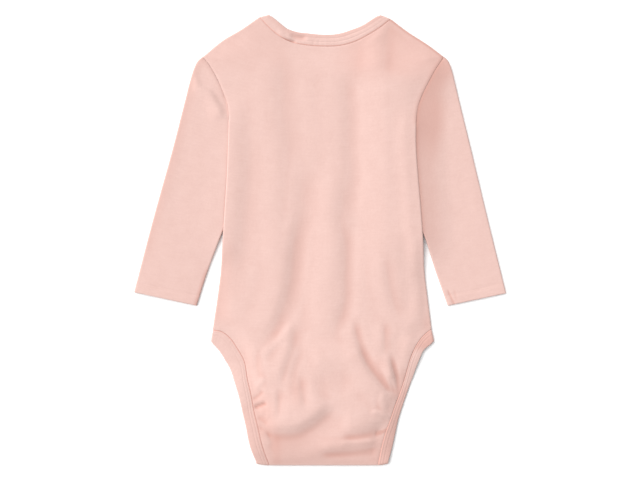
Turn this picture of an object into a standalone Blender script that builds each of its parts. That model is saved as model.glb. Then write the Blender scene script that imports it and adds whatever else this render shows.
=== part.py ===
"""A long-sleeved baby bodysuit, laid flat on its front, so that its back is up.

The garment rests on z = 0. +Y points to the neck, +X to the right as seen from
above, and the origin is the middle of its outline. It is cut and sewn from a back
(with a crotch flap that folds under), a front (with a crotch tab), two sleeves, a
neckband and two leg bindings, and it is closed by three snaps.

Each panel is an open sheet at the middle of the cloth, given its thickness by
Solidify. Tables and sizes are in millimetres, and MM turns them into metres.
"""

import math
from collections import namedtuple

import bmesh
import bpy
import numpy as np

MM = 0.001

# ---- Cloth -------------------------------------------------------------------
WALL = 1.0  # interlock jersey
BAND = 1.1  # bands, folded double
SEAM = 0.3  # between two pieces at a seam
LOWER = 0.5  # middle of the front, which lies on the ground
UPPER = 1.8  # middle of the back where it is sewn to the front
BAND_FOLD = 0.75  # radius at which a band turns over a shoulder or a hip
SLEEVE_FOLD = 0.65  # radius of a sleeve's two folded edges
BODY_RISE = 1.5  # how far the back stands off the front, inside
UNDERARM_SPREAD = 5.0  # how far the cloth's points keep from the underarm
SLEEVE_RISE = 1.2  # how far a sleeve's upper layer stands off, inside

# ---- Crotch ------------------------------------------------------------------
FOLD_Y = -208.1  # where the back turns under
FOLD_TOP = 3.3  # middle of the back at that fold
FLAP_END = -165.0
FLAP_GROUND = 0.65  # middle of the flap beside the fold
FLAP_LEVEL = 2.0  # middle of the flap over the front's tab
TAB_END = -192.0
SNAP_Y = -181.0
SNAP_X = (-24.0, 3.0, 30.0)
SNAP_ROW_HALF = 7.0  # the cloth is level this far above and below the snaps
SNAP_ROW_REACH = 14.0
SNAP_SIDE_FLAT = 36.0
SNAP_SIDE_REACH = 50.0
TAB_LIFT, FLAP_LIFT, BACK_LIFT = 0.85, 2.5, 3.15
SNAP_RADIUS = 4.7
POST_RADIUS = 1.5

# ---- Outlines ----------------------------------------------------------------
# Shared by the back and the front: x and y of each edge, from its upper end.
Point = namedtuple("Point", "x y")
SHOULDER_LEFT = [Point(-56.9, 207.6), Point(-74.7, 195.4), Point(-89.6, 186.7), Point(-109.2, 170.8)]
SHOULDER_RIGHT = [Point(66.0, 205.9), Point(81.7, 195.0), Point(102.7, 181.4), Point(115.4, 170.6)]
ARMHOLE_LEFT = [
    Point(-109.2, 170.8), Point(-102.7, 162.4), Point(-95.8, 150.3), Point(-90.5, 138.1),
    Point(-86.4, 126.9), Point(-85.2, 118.5), Point(-85.1, 112.0),
]
ARMHOLE_RIGHT = [
    Point(115.4, 170.6), Point(107.3, 158.7), Point(100.2, 145.6), Point(94.9, 134.8),
    Point(91.2, 124.6), Point(89.7, 116.5), Point(89.4, 110.0),
]
SIDE_LEFT = [
    Point(-85.1, 112.0), Point(-85.8, 88.0), Point(-86.8, 62.0), Point(-88.8, 30.0),
    Point(-90.6, 2.0), Point(-92.6, -30.0), Point(-95.4, -52.0), Point(-100.1, -83.4),
]
SIDE_RIGHT = [
    Point(89.4, 110.0), Point(89.5, 88.0), Point(91.2, 62.0), Point(93.9, 30.0),
    Point(95.9, 2.0), Point(97.2, -28.0), Point(100.2, -53.0), Point(103.9, -82.6),
]
# Sleeves: the folded edges, from the armhole to the cuff. The inner edge passes
# under the side of the body and comes out where body and sleeve part.
SLEEVE_OUTER_LEFT = [
    Point(-109.7, 170.9), Point(-113.8, 167.2), Point(-118.0, 158.7), Point(-121.0, 149.0),
    Point(-125.7, 130.7), Point(-135.2, 93.3), Point(-155.8, 18.7), Point(-173.5, -48.7),
]
SLEEVE_INNER_LEFT = [
    Point(-85.5, 112.0), Point(-86.4, 97.0), Point(-81.4, 79.0), Point(-78.2, 56.0),
    Point(-81.4, 30.0), Point(-91.2, 3.0), Point(-105.7, -32.7), Point(-114.9, -61.2),
]
SLEEVE_OUTER_RIGHT = [
    Point(116.1, 170.8), Point(119.0, 167.5), Point(122.8, 158.7), Point(125.2, 149.3),
    Point(129.6, 130.7), Point(138.7, 93.3), Point(156.6, 18.7), Point(173.5, -49.6),
]
SLEEVE_INNER_RIGHT = [
    Point(90.1, 110.0), Point(90.5, 96.0), Point(84.6, 78.0), Point(81.6, 55.0),
    Point(85.2, 29.0), Point(96.7, 2.0), Point(107.2, -28.0), Point(118.9, -61.2),
]
# How far the side of the body stands up to lie on the sleeve, along y.
Lift = namedtuple("Lift", "y rise")
OVER_SLEEVE = [Lift(111.0, 0.0), Lift(100.0, 2.9), Lift(-5.0, 2.9), Lift(-28.0, 0.0)]
OVER_FLAT, FRONT_REACH, BACK_REACH = 13.0, 38.0, 44.0
BACK_LEAD = 1.5  # the back starts up before the front and comes down after it

# Bands: the seam to the panel and the free edge, and the height of each.
Band = namedtuple("Band", "seam_x seam_y free_x free_y seam_z free_z")
NECK_BACK = [
    Band(-56.9, 207.6, -47.0, 210.0, 2.05, 2.05),
    Band(-47.5, 197.6, -38.0, 202.8, 2.05, 1.95),
    Band(-38.5, 190.2, -30.5, 197.0, 1.95, 1.50),
    Band(-27.0, 184.4, -22.0, 194.2, 1.75, 1.10),
    Band(-13.3, 181.6, -11.0, 192.8, 1.55, 0.85),
    Band(3.0, 180.4, 4.0, 191.6, 1.50, 0.80),
    Band(19.5, 181.2, 17.0, 192.4, 1.55, 0.85),
    Band(33.0, 185.0, 29.0, 196.0, 1.75, 1.10),
    Band(45.5, 191.4, 40.5, 200.6, 1.95, 1.50),
    Band(56.5, 198.3, 48.0, 205.4, 2.05, 1.95),
    Band(66.0, 205.9, 55.4, 210.0, 2.05, 2.05),
]
NECK_FRONT = [
    Band(66.0, 205.9, 55.4, 210.0, 0.55, 0.55),
    Band(62.8, 192.5, 51.8, 196.5, 0.55, 0.55),
    Band(56.0, 176.5, 46.5, 182.5, 0.55, 0.55),
    Band(42.5, 160.5, 35.5, 169.5, 0.55, 0.55),
    Band(24.0, 151.0, 20.5, 161.8, 0.55, 0.55),
    Band(4.0, 148.6, 4.0, 159.8, 0.55, 0.55),
    Band(-15.5, 151.0, -12.5, 161.8, 0.55, 0.55),
    Band(-33.5, 160.5, -27.0, 169.5, 0.55, 0.55),
    Band(-46.8, 176.5, -38.5, 182.5, 0.55, 0.55),
    Band(-53.8, 192.5, -44.5, 196.5, 0.55, 0.55),
    Band(-56.9, 207.6, -47.0, 210.0, 0.55, 0.55),
]
LEG_BACK_LEFT = [
    Band(-100.1, -83.4, -102.0, -95.0, 2.05, 2.05),
    Band(-91.9, -84.9, -97.0, -99.8, 2.20, 2.05),
    Band(-84.2, -90.5, -92.5, -105.2, 2.45, 2.00),
    Band(-76.5, -101.3, -88.3, -112.2, 2.80, 1.75),
    Band(-70.9, -111.1, -84.0, -119.5, 2.95, 1.55),
    Band(-67.2, -129.7, -79.4, -133.0, 3.05, 1.35),
    Band(-63.9, -143.5, -75.9, -144.2, 3.15, 1.25),
    Band(-60.9, -159.6, -72.0, -160.6, 3.30, 1.20),
    Band(-57.9, -171.7, -69.1, -173.0, 3.45, 1.30),
    Band(-53.2, -191.8, -64.8, -193.0, 3.55, 1.80),
    Band(-47.6, FOLD_Y, -59.6, FOLD_Y + 1.8, FOLD_TOP, FOLD_TOP),
]
LEG_BACK_RIGHT = [
    Band(103.9, -82.6, 106.0, -95.0, 2.05, 2.05),
    Band(96.9, -88.1, 101.5, -98.4, 2.30, 2.05),
    Band(90.7, -95.8, 97.0, -102.3, 2.60, 2.00),
    Band(84.5, -108.3, 92.6, -111.3, 2.85, 1.75),
    Band(79.1, -126.9, 87.2, -125.6, 3.00, 1.45),
    Band(73.7, -143.7, 80.9, -143.0, 3.15, 1.30),
    Band(69.8, -153.2, 77.6, -152.6, 3.25, 1.20),
    Band(65.4, -166.3, 73.3, -166.0, 3.40, 1.25),
    Band(60.2, -181.1, 70.0, -180.9, 3.50, 1.40),
    Band(57.0, -193.0, 67.4, -192.6, 3.55, 1.80),
    Band(54.0, FOLD_Y, 63.6, FOLD_Y + 1.8, FOLD_TOP, FOLD_TOP),
]
LEG_FRONT_LEFT = [
    Band(-100.1, -83.4, -102.0, -95.0, 0.55, 0.55),
    Band(-84.0, -91.5, -90.5, -101.5, 0.55, 0.55),
    Band(-70.0, -109.0, -79.6, -115.0, 0.55, 0.55),
    Band(-59.0, -133.0, -69.6, -137.0, 0.55, 0.55),
    Band(-50.5, -160.0, -61.2, -162.2, 0.55, 0.55),
    Band(-46.4, -178.0, -57.3, -179.0, 0.55, 0.55),
    Band(-45.4, TAB_END, -56.3, TAB_END, 0.55, 0.55),
]
LEG_FRONT_RIGHT = [
    Band(103.9, -82.6, 106.0, -95.0, 0.55, 0.55),
    Band(90.0, -91.5, 96.2, -101.5, 0.55, 0.55),
    Band(76.5, -109.0, 85.8, -115.0, 0.55, 0.55),
    Band(65.6, -133.0, 76.2, -137.0, 0.55, 0.55),
    Band(56.8, -160.0, 67.4, -162.2, 0.55, 0.55),
    Band(52.8, -178.0, 63.6, -179.0, 0.55, 0.55),
    Band(51.8, TAB_END, 62.6, TAB_END, 0.55, 0.55),
]
# The flap under the crotch, from the fold to its end.
Flap = namedtuple("Flap", "y seam_left free_left seam_right free_right")
FLAP = [
    Flap(FOLD_Y, -47.6, -59.6, 54.0, 63.6),
    Flap(-201.0, -46.8, -57.9, 53.2, 63.2),
    Flap(-195.0, -46.2, -56.8, 52.5, 62.8),
    Flap(-188.0, -45.5, -55.9, 51.8, 62.2),
    Flap(-174.0, -44.2, -54.6, 50.4, 60.8),
    Flap(-169.0, -43.7, -54.1, 49.9, 60.3),
    Flap(FLAP_END, -43.4, -53.8, 49.5, 59.9),
]

# ---- Folds of the back -------------------------------------------------------
# Each runs on a bow from its start through its middle to its end.
Fold = namedtuple("Fold", "x0 y0 x1 y1 x2 y2 width depth")
FOLDS = [
    Fold(-41.0, 166.0, -38.0, 107.0, -29.0, 60.0, 24.0, -0.55),
    Fold(23.0, 157.0, 17.5, 107.0, 14.5, 60.0, 24.0, -0.50),
    Fold(-70.0, 122.0, -70.0, 20.0, -82.0, -39.0, 16.0, -0.50),
    Fold(-20.5, 19.0, -32.5, -51.0, -59.0, -100.0, 16.0, -1.00),
    Fold(23.0, 19.0, 21.5, -51.0, 17.0, -81.0, 13.0, -0.80),
    Fold(61.0, -33.0, 72.0, -59.0, 80.0, -81.0, 14.0, -0.50),
    Fold(-25.5, -75.0, -41.0, -88.0, -60.0, -106.0, 9.0, 0.55),
    Fold(-23.5, -73.0, -28.0, -110.0, -39.0, -160.0, 10.0, -0.75),
    Fold(33.0, -79.0, 40.0, -103.0, 67.0, -150.0, 11.0, -0.95),
    Fold(-54.0, -160.0, -16.0, -163.0, 6.0, -150.0, 15.0, -0.60),
]

# ---- Mesh density ------------------------------------------------------------
ARM_SHARES = (0.0, 0.07, 0.20, 0.34, 0.48, 0.62, 0.76, 0.89, 1.0)
SIDE_SHARES = (0.0, 0.03, 0.06, 0.12, 0.19, 0.26, 0.33, 0.40, 0.47, 0.54, 0.60, 0.66, 0.72, 0.79, 0.86, 0.93, 1.0)
BACK_COLUMNS, BACK_SHOULDER, BACK_LEG = 20, 5, 13
FRONT_COLUMNS, FRONT_SHOULDER, FRONT_LEG = 14, 4, 8
COLUMN_PULL = {BACK_COLUMNS: 0.3, FRONT_COLUMNS: 0.5}  # closer columns at the sides
SLEEVE_SHARES = (0.0, 0.05, 0.13, 0.24, 0.37, 0.52, 0.68, 0.84, 1.0)
FOLD_STEPS = 4


# ---- Lines and sheets --------------------------------------------------------
def smooth(t):
    """Rises from 0 to 1 with level ends."""
    t = min(max(t, 0.0), 1.0)
    return t * t * (3.0 - 2.0 * t)


def level_then_falls(distance, flat, reach):
    return 1.0 - smooth((abs(distance) - flat) / (reach - flat))


def even(count):
    return [i / count for i in range(count + 1)]


def columns(count):
    """Shares of a panel's width, closer together at its sides."""
    pull = COLUMN_PULL[count] / (2 * math.pi)
    return [t - pull * math.sin(2 * math.pi * t) for t in even(count)]


def along(rows, shares):
    """Points at these shares of a smooth line's length; the line passes through the rows."""
    points = np.array(rows, float)
    steps = np.linalg.norm(np.diff(points[:, :2], axis=0), axis=1)
    slopes = np.diff(points, axis=0) / steps[:, None]
    tangents = [slopes[0]]
    for i in range(1, len(steps)):
        before, after = steps[i - 1], steps[i]
        tangents.append((after * slopes[i - 1] + before * slopes[i]) / (before + after))
    tangents.append(slopes[-1])
    lengths = np.concatenate([[0.0], np.cumsum(steps)])
    found = []
    for share in shares:
        s = share * lengths[-1]
        i = min(int(np.searchsorted(lengths, s, side="right")) - 1, len(steps) - 1)
        h, t = steps[i], (s - lengths[i]) / steps[i]
        found.append(
            (2 * t**3 - 3 * t**2 + 1) * points[i]
            + (t**3 - 2 * t**2 + t) * h * tangents[i]
            + (3 * t**2 - 2 * t**3) * points[i + 1]
            + (t**3 - t**2) * h * tangents[i + 1]
        )
    return np.array(found)


def with_height(points, heights):
    return np.column_stack([points[:, :2], heights])


def seam_line(rows, shares):
    """x, y and z of a band's seam, which is the edge of the panel beside it."""
    return along([(r.seam_x, r.seam_y, r.seam_z) for r in rows], shares)


def free_line(rows, shares):
    return along([(r.free_x, r.free_y, r.free_z) for r in rows], shares)


def sheet_between(top, bottom, left, right):
    """A grid of points whose four edges are these lines, rows from top to bottom."""

    def shares(first, second):
        total = np.zeros(len(first))
        for line in (first, second):
            steps = np.linalg.norm(np.diff(line[:, :2], axis=0), axis=1)
            total += np.concatenate([[0.0], np.cumsum(steps)]) / steps.sum() / 2
        return total

    u = shares(top, bottom)[None, :, None]
    v = shares(left, right)[:, None, None]
    across = (1 - u) * left[:, None] + u * right[:, None]
    down = (1 - v) * top[None] + v * bottom[None]
    corners = (
        (1 - u) * (1 - v) * top[0] + u * (1 - v) * top[-1]
        + (1 - u) * v * bottom[0] + u * v * bottom[-1]
    )
    return across + down - corners


def moved_out(line, gap):
    """The line moved sideways in plan: to the left of its direction for a gap above 0."""
    steps = np.gradient(line[:, :2], axis=0)
    steps /= np.linalg.norm(steps, axis=1)[:, None]
    moved = line.copy()
    moved[:, 0] -= gap * steps[:, 1]
    moved[:, 1] += gap * steps[:, 0]
    return moved


def over_sleeve(y):
    """How far the side of the body is lifted by the sleeve under it."""
    rows = OVER_SLEEVE
    if y >= rows[0].y or y <= rows[-1].y:
        return 0.0
    for upper, lower in zip(rows, rows[1:]):
        if y >= lower.y:
            t = smooth((upper.y - y) / (upper.y - lower.y))
            return upper.rise + t * (lower.rise - upper.rise)
    return 0.0


def snap_row(x, y):
    """1 on the level stretch that holds the snaps, 0 away from it."""
    beside = level_then_falls(x - SNAP_X[1], SNAP_SIDE_FLAT, SNAP_SIDE_REACH)
    return level_then_falls(y - SNAP_Y, SNAP_ROW_HALF, SNAP_ROW_REACH) * (0.3 + 0.7 * beside)


def fold_height(x, y):
    """The folds together: each is a soft trough or ridge that fades at its two ends."""
    height = 0.0
    for f in FOLDS:
        start, middle, end = np.array([f.x0, f.y0]), np.array([f.x1, f.y1]), np.array([f.x2, f.y2])
        pull = 2 * middle - (start + end) / 2
        nearest, where = 1e9, 0.0
        for step in range(25):
            t = step / 24
            point = (1 - t) ** 2 * start + 2 * t * (1 - t) * pull + t**2 * end
            distance = math.hypot(x - point[0], y - point[1])
            if distance < nearest:
                nearest, where = distance, t
        height += f.depth * math.exp(-((nearest / (0.5 * f.width)) ** 2)) * math.sin(math.pi * min(max(where, 0.08), 0.92))
    return height


# ---- Objects -----------------------------------------------------------------
for old in list(bpy.data.objects):
    bpy.data.objects.remove(old, do_unlink=True)

bodysuit = bpy.data.collections.new("baby_bodysuit")
cutters = bpy.data.collections.new("cutters")
for collection in (bodysuit, cutters):
    bpy.context.scene.collection.children.link(collection)
cutters.hide_render = True

garment = bpy.data.objects.new("garment", None)
garment.empty_display_size = 0.05
bodysuit.objects.link(garment)


def material(name, colour, roughness, metallic=0.0):
    made = bpy.data.materials.new(name)
    made.use_nodes = True
    shader = made.node_tree.nodes["Principled BSDF"]
    shader.inputs["Base Color"].default_value = (*colour, 1.0)
    shader.inputs["Roughness"].default_value = roughness
    shader.inputs["Metallic"].default_value = metallic
    return made


JERSEY = (0.88, 0.60, 0.54)
BACK_CLOTH = material("jersey_back", JERSEY, 0.9)
FRONT_CLOTH = material("jersey_front", JERSEY, 0.9)
SLEEVE_CLOTH = material("jersey_sleeve", JERSEY, 0.9)
BAND_CLOTH = material("jersey_band", (0.86, 0.57, 0.51), 0.88)
SNAP_METAL = material("snap_lacquer", (0.86, 0.62, 0.57), 0.35, 0.2)


def add_object(name, mesh, look, collection=bodysuit):
    mesh.materials.append(look)
    made = bpy.data.objects.new(name, mesh)
    collection.objects.link(made)
    made.parent = garment
    return made


def cloth(name, grid, look, thickness, closed_down=False, closed_across=False, flip=False):
    """A sheet from a grid of points in millimetres, thickened on both sides."""
    rows, columns = grid.shape[:2]
    body = bmesh.new()
    verts = [[body.verts.new(point * MM) for point in row] for row in grid]
    for r in range(rows if closed_down else rows - 1):
        for c in range(columns if closed_across else columns - 1):
            down, right = (r + 1) % rows, (c + 1) % columns
            corners = [verts[r][c], verts[down][c], verts[down][right], verts[r][right]]
            body.faces.new(corners[::-1] if flip else corners)
    mesh = bpy.data.meshes.new(name)
    body.to_mesh(mesh)
    body.free()
    mesh.shade_smooth()
    made = add_object(name, mesh, look)
    wall = made.modifiers.new("wall", "SOLIDIFY")
    wall.thickness = thickness * MM
    wall.offset = 0.0
    wall.use_even_offset = True
    wall.use_quality_normals = True
    wall.use_rim = True
    return made


# ---- Back --------------------------------------------------------------------
def cap_rise(share):
    """How far the upper layer stands off along the armhole."""
    return SLEEVE_RISE * (1.0 - (2.0 * share - 1.0) ** 2)


def body_edge(corner, shoulder, armhole, side, count, level, arm_rise):
    """A panel's side edge from the neck: shoulder, armhole, then side seam."""
    slope = along(shoulder, even(count))
    slope = with_height(slope, np.full(len(slope), level))
    slope[0] = corner
    arm = along(armhole, ARM_SHARES)[1:]
    arm = with_height(arm, [level + arm_rise * cap_rise(s) for s in ARM_SHARES[1:]])
    down = along(side, SIDE_SHARES)[1:]
    down = with_height(down, np.full(len(down), level))
    return np.concatenate([slope, arm, down])


def side_distance(grid):
    """For each point, how far in plan it is from the nearer end of its own row."""
    left = np.linalg.norm(grid[:, :, :2] - grid[:, :1, :2], axis=2)
    right = np.linalg.norm(grid[:, :, :2] - grid[:, -1:, :2], axis=2)
    return np.minimum(left, right)


def back_grid():
    top = seam_line(NECK_BACK, columns(BACK_COLUMNS))
    leg_shares = even(BACK_LEG)[1:]
    left = body_edge(top[0], SHOULDER_LEFT, ARMHOLE_LEFT, SIDE_LEFT, BACK_SHOULDER, UPPER, 1.0)
    left = np.concatenate([left, seam_line(LEG_BACK_LEFT, leg_shares)])
    right = body_edge(top[-1], SHOULDER_RIGHT, ARMHOLE_RIGHT, SIDE_RIGHT, BACK_SHOULDER, UPPER, 1.0)
    right = np.concatenate([right, seam_line(LEG_BACK_RIGHT, leg_shares)])
    across = np.array(columns(BACK_COLUMNS))[:, None]
    bottom = left[-1] + across * (right[-1] - left[-1])
    grid = sheet_between(top, bottom, left, right)
    inward = side_distance(grid)
    from_top = np.linalg.norm(grid[:, :, :2] - grid[:1, :, :2], axis=2)
    for r in range(grid.shape[0]):
        for c in range(grid.shape[1]):
            x, y = grid[r, c, 0], grid[r, c, 1]
            beside = 1.0 - (1.0 - min(inward[r, c] / 30.0, 1.0)) ** 2
            inside = beside * smooth(from_top[r, c] / 26.0) * smooth((y - FOLD_Y) / 24.0)
            rise = (BODY_RISE + fold_height(x, y)) * inside
            lift = max(over_sleeve(y - BACK_LEAD), over_sleeve(y + BACK_LEAD))
            rise += 1.08 * lift * level_then_falls(inward[r, c], OVER_FLAT, BACK_REACH)
            rise += BACK_LIFT * snap_row(x, y)
            grid[r, c, 2] += rise
    return np.concatenate([grid, flap_rows(across[:, 0])])


def flap_height(x, y):
    """The flap lies on the ground by the fold, then climbs onto the tab."""
    climb = smooth((y + 204.0) / 9.0)
    return FLAP_GROUND + (FLAP_LEVEL - FLAP_GROUND) * climb + FLAP_LIFT * snap_row(x, y)


def fold_turn(x, y, top, bottom, step, steps=FOLD_STEPS):
    """A point of the half circle at the crotch fold."""
    turn = math.pi * step / steps
    radius = (top - bottom) / 2
    return (x, y - radius * math.sin(turn), (top + bottom) / 2 + radius * math.cos(turn))


def flap_rows(across):
    first = FLAP[0]
    xs = first.seam_left + across * (first.seam_right - first.seam_left)
    rows = [[fold_turn(x, first.y, FOLD_TOP, FLAP_GROUND, step) for x in xs] for step in range(1, FOLD_STEPS + 1)]
    for f in FLAP[1:]:
        xs = f.seam_left + across * (f.seam_right - f.seam_left)
        rows.append([(x, f.y, flap_height(x, f.y)) for x in xs])
    return np.array(rows)


back = cloth("back_panel", back_grid(), BACK_CLOTH, WALL)


# ---- Front -------------------------------------------------------------------
TAB_ROWS = (-167.0, -174.0, SNAP_Y, -188.0, TAB_END)


def tab_shares(leg):
    """Leg shares: even ones down to the tab, then one for each row of the tab."""
    line = seam_line(leg, even(400))
    shares = []
    for y in TAB_ROWS:
        shares.append(float(np.argmin(np.abs(line[:, 1] - y))) / 400)
    upper = [shares[0] * i / FRONT_LEG for i in range(FRONT_LEG)]
    return upper + shares[:-1] + [1.0]


def front_grid():
    top = seam_line(NECK_FRONT[::-1], columns(FRONT_COLUMNS))
    left = body_edge(top[0], SHOULDER_LEFT, ARMHOLE_LEFT, SIDE_LEFT, FRONT_SHOULDER, LOWER, 0.0)
    left = np.concatenate([left, seam_line(LEG_FRONT_LEFT, tab_shares(LEG_FRONT_LEFT))[1:]])
    right = body_edge(top[-1], SHOULDER_RIGHT, ARMHOLE_RIGHT, SIDE_RIGHT, FRONT_SHOULDER, LOWER, 0.0)
    right = np.concatenate([right, seam_line(LEG_FRONT_RIGHT, tab_shares(LEG_FRONT_RIGHT))[1:]])
    across = np.array(columns(FRONT_COLUMNS))[:, None]
    bottom = left[-1] + across * (right[-1] - left[-1])
    grid = sheet_between(top, bottom, left, right)
    inward = side_distance(grid)
    for r in range(grid.shape[0]):
        for c in range(grid.shape[1]):
            x, y = grid[r, c, 0], grid[r, c, 1]
            rise = over_sleeve(y) * level_then_falls(inward[r, c], OVER_FLAT, FRONT_REACH)
            grid[r, c, 2] = LOWER + rise + TAB_LIFT * snap_row(x, y)
    return grid


front = cloth("front_panel", front_grid(), FRONT_CLOTH, WALL)


# ---- Sleeves -----------------------------------------------------------------
def inward_from(path, share, inside):
    """The level direction square to a folded edge, on the side of the cloth."""
    before, place, after = along(path, [max(share - 0.02, 0.0), share, min(share + 0.02, 1.0)])
    direction = (after - before) / np.linalg.norm(after - before)
    square = np.array([-direction[1], direction[0]])
    return square * math.copysign(1.0, float(np.dot(square, inside[:2] - place)))


def sleeve_grid(armhole, outer, inner, out_sign):
    """Rings round a flattened tube, from the armhole to the cuff."""
    cap = moved_out(along(armhole, ARM_SHARES), out_sign * SEAM)
    near, far = along(outer, SLEEVE_SHARES), along(inner, SLEEVE_SHARES)
    cap[0], cap[-1] = near[0], far[0]
    # The rows straighten from the armhole's curve to the cuff. The edge runs straight
    # on at the underarm, so the points near it move into the cloth.
    plan = np.zeros((len(SLEEVE_SHARES), len(ARM_SHARES), 2))
    for r, v in enumerate(SLEEVE_SHARES):
        for c, share in enumerate(ARM_SHARES):
            bow = cap[c] - (cap[0] + share * (cap[-1] - cap[0]))
            plan[r, c] = near[r] + share * (far[r] - near[r]) + (1.0 - v) ** 4 * bow
            if r and 0 < c < len(ARM_SHARES) - 1:
                by_underarm = math.exp(-(((1.0 - share) / 0.2) ** 2) - (v / 0.12) ** 2)
                plan[r, c, 0] += out_sign * UNDERARM_SPREAD * by_underarm
    middle = LOWER + SLEEVE_FOLD
    rings = []
    for r, v in enumerate(SLEEVE_SHARES):
        row = plan[r]
        ring = []
        for end, path in ((0, outer), (-1, inner)):
            toward = inward_from(path, v, row[len(row) // 2])
            turn = []
            for step in range(FOLD_STEPS + 1):
                angle = math.pi * (step / FOLD_STEPS - 0.5)
                shift = WALL / 2 + SLEEVE_FOLD * (1 - math.cos(angle))
                place = row[end] + toward * shift
                turn.append((place[0], place[1], middle + SLEEVE_FOLD * math.sin(angle)))
            if end == 0:
                ring += turn
                for c, share in enumerate(ARM_SHARES):
                    if 0 < c < len(ARM_SHARES) - 1:
                        under_body = smooth(v / 0.15) * smooth((share - 0.45) / 0.3)
                        rise = cap_rise(share) * (1.0 - under_body) * (1.0 - 0.45 * v)
                        ring.append((row[c][0], row[c][1], UPPER + rise))
            else:
                ring += turn[::-1]
        for c in range(len(ARM_SHARES) - 2, 0, -1):
            ring.append((row[c][0], row[c][1], LOWER))
        rings.append(ring)
    return np.array(rings)


sleeve_left = cloth(
    "sleeve_left", sleeve_grid(ARMHOLE_LEFT, SLEEVE_OUTER_LEFT, SLEEVE_INNER_LEFT, -1),
    SLEEVE_CLOTH, WALL, closed_across=True,
)
sleeve_right = cloth(
    "sleeve_right", sleeve_grid(ARMHOLE_RIGHT, SLEEVE_OUTER_RIGHT, SLEEVE_INNER_RIGHT, 1),
    SLEEVE_CLOTH, WALL, closed_across=True, flip=True,
)


# ---- Bands -------------------------------------------------------------------
def band_rows(rows, shares):
    """Two points for each station: one a seam's gap off the panel, one on the free edge."""
    stations = []
    for share, seam, free in zip(shares, seam_line(rows, shares), free_line(rows, shares)):
        before, after = seam_line(rows, [max(share - 0.01, 0.0), min(share + 0.01, 1.0)])
        direction = (after - before)[:2] / np.linalg.norm((after - before)[:2])
        across = np.array([-direction[1], direction[0]])
        across *= math.copysign(1.0, float(np.dot(across, (free - seam)[:2])))
        stations.append([np.array([*(seam[:2] + across * SEAM), seam[2]]), free])
    return stations


def turn_over(above, below):
    """Stations of a band that turns over an edge, from its upper to its lower layer."""
    line = above[1][:2] - above[0][:2]
    out = np.array([-line[1], line[0]]) / np.linalg.norm(line)
    rows = []
    for step in range(1, FOLD_STEPS):
        turn = math.pi * step / FOLD_STEPS
        row = []
        for high, low in zip(above, below):
            radius = (high[2] - low[2]) / 2
            place = high[:2] + (low - high)[:2] * step / FOLD_STEPS + out * radius * math.sin(turn)
            row.append(np.array([*place, (high[2] + low[2]) / 2 + radius * math.cos(turn)]))
        rows.append(row)
    return rows


def before_turn(last, inside, out):
    """The last station before a band turns over an edge, so far in that the turn
    stays inside the outline: its seam point stays on the seam."""
    amount = BAND_FOLD + BAND / 2
    share = amount / float(np.dot((last[0] - inside[0])[:2], out))
    seam = last[0] + (inside[0] - last[0]) * share
    free = last[1].copy()
    free[:2] -= out * amount
    return [seam, free]


def neckband_grid():
    upper = band_rows(NECK_BACK, columns(BACK_COLUMNS))
    lower = band_rows(NECK_FRONT, columns(FRONT_COLUMNS))
    # The turns over the shoulders stay inside the outline.
    for row, next_row, beside, next_beside in ((0, 1, -1, -2), (-1, -2, 0, 1)):
        line = upper[row][1][:2] - upper[row][0][:2]
        out = np.array([-line[1], line[0]]) / np.linalg.norm(line) * (1 if row == 0 else -1)
        upper[row] = before_turn(upper[row], upper[next_row], out)
        lower[beside] = before_turn(lower[beside], lower[next_beside], out)
    right_turn = turn_over(upper[-1][::-1], lower[0][::-1])
    left_turn = turn_over(upper[0], lower[-1])
    rows = upper + [row[::-1] for row in right_turn] + lower + left_turn[::-1]
    return np.array(rows)


neckband = cloth("neckband", neckband_grid(), BAND_CLOTH, BAND, closed_down=True)


def leg_grid(back_rows, front_rows, side):
    """From the flap's end round the fold, up the back, over the hip, down to the tab."""
    flap = []
    for f in reversed(FLAP[1:]):
        seam_x = f.seam_left if side < 0 else f.seam_right
        free_x = f.free_left if side < 0 else f.free_right
        flap.append([
            np.array([seam_x + side * SEAM, f.y, flap_height(seam_x, f.y)]),
            np.array([free_x, f.y, flap_height(free_x, f.y)]),
        ])
    upper = band_rows(back_rows, even(BACK_LEG))
    for row in upper:
        for point in row:
            point[2] += BACK_LIFT * snap_row(point[0], point[1])
    fold = [
        [np.array(fold_turn(p[0], p[1], p[2], FLAP_GROUND, step)) for p in upper[-1]]
        for step in range(FOLD_STEPS, 0, -1)
    ]
    lower = band_rows(front_rows, tab_shares(front_rows))
    for row in lower:
        for point in row:
            point[2] += TAB_LIFT * snap_row(point[0], point[1])
    # The turn over the hip stays inside the outline.
    line = upper[0][1][:2] - upper[0][0][:2]
    out = np.array([line[1], -line[0]]) / np.linalg.norm(line) * (1 if side < 0 else -1)
    upper[0] = before_turn(upper[0], upper[1], out)
    lower[0] = before_turn(lower[0], lower[1], out)
    if side < 0:
        hip = [row[::-1] for row in turn_over(upper[0][::-1], lower[0][::-1])]
    else:
        hip = turn_over(upper[0], lower[0])
    return np.array(flap + fold + upper[::-1] + hip + lower)


leg_binding_left = cloth(
    "leg_binding_left", leg_grid(LEG_BACK_LEFT, LEG_FRONT_LEFT, -1), BAND_CLOTH, BAND
)
leg_binding_right = cloth(
    "leg_binding_right", leg_grid(LEG_BACK_RIGHT, LEG_FRONT_RIGHT, 1), BAND_CLOTH, BAND, flip=True
)


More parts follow.
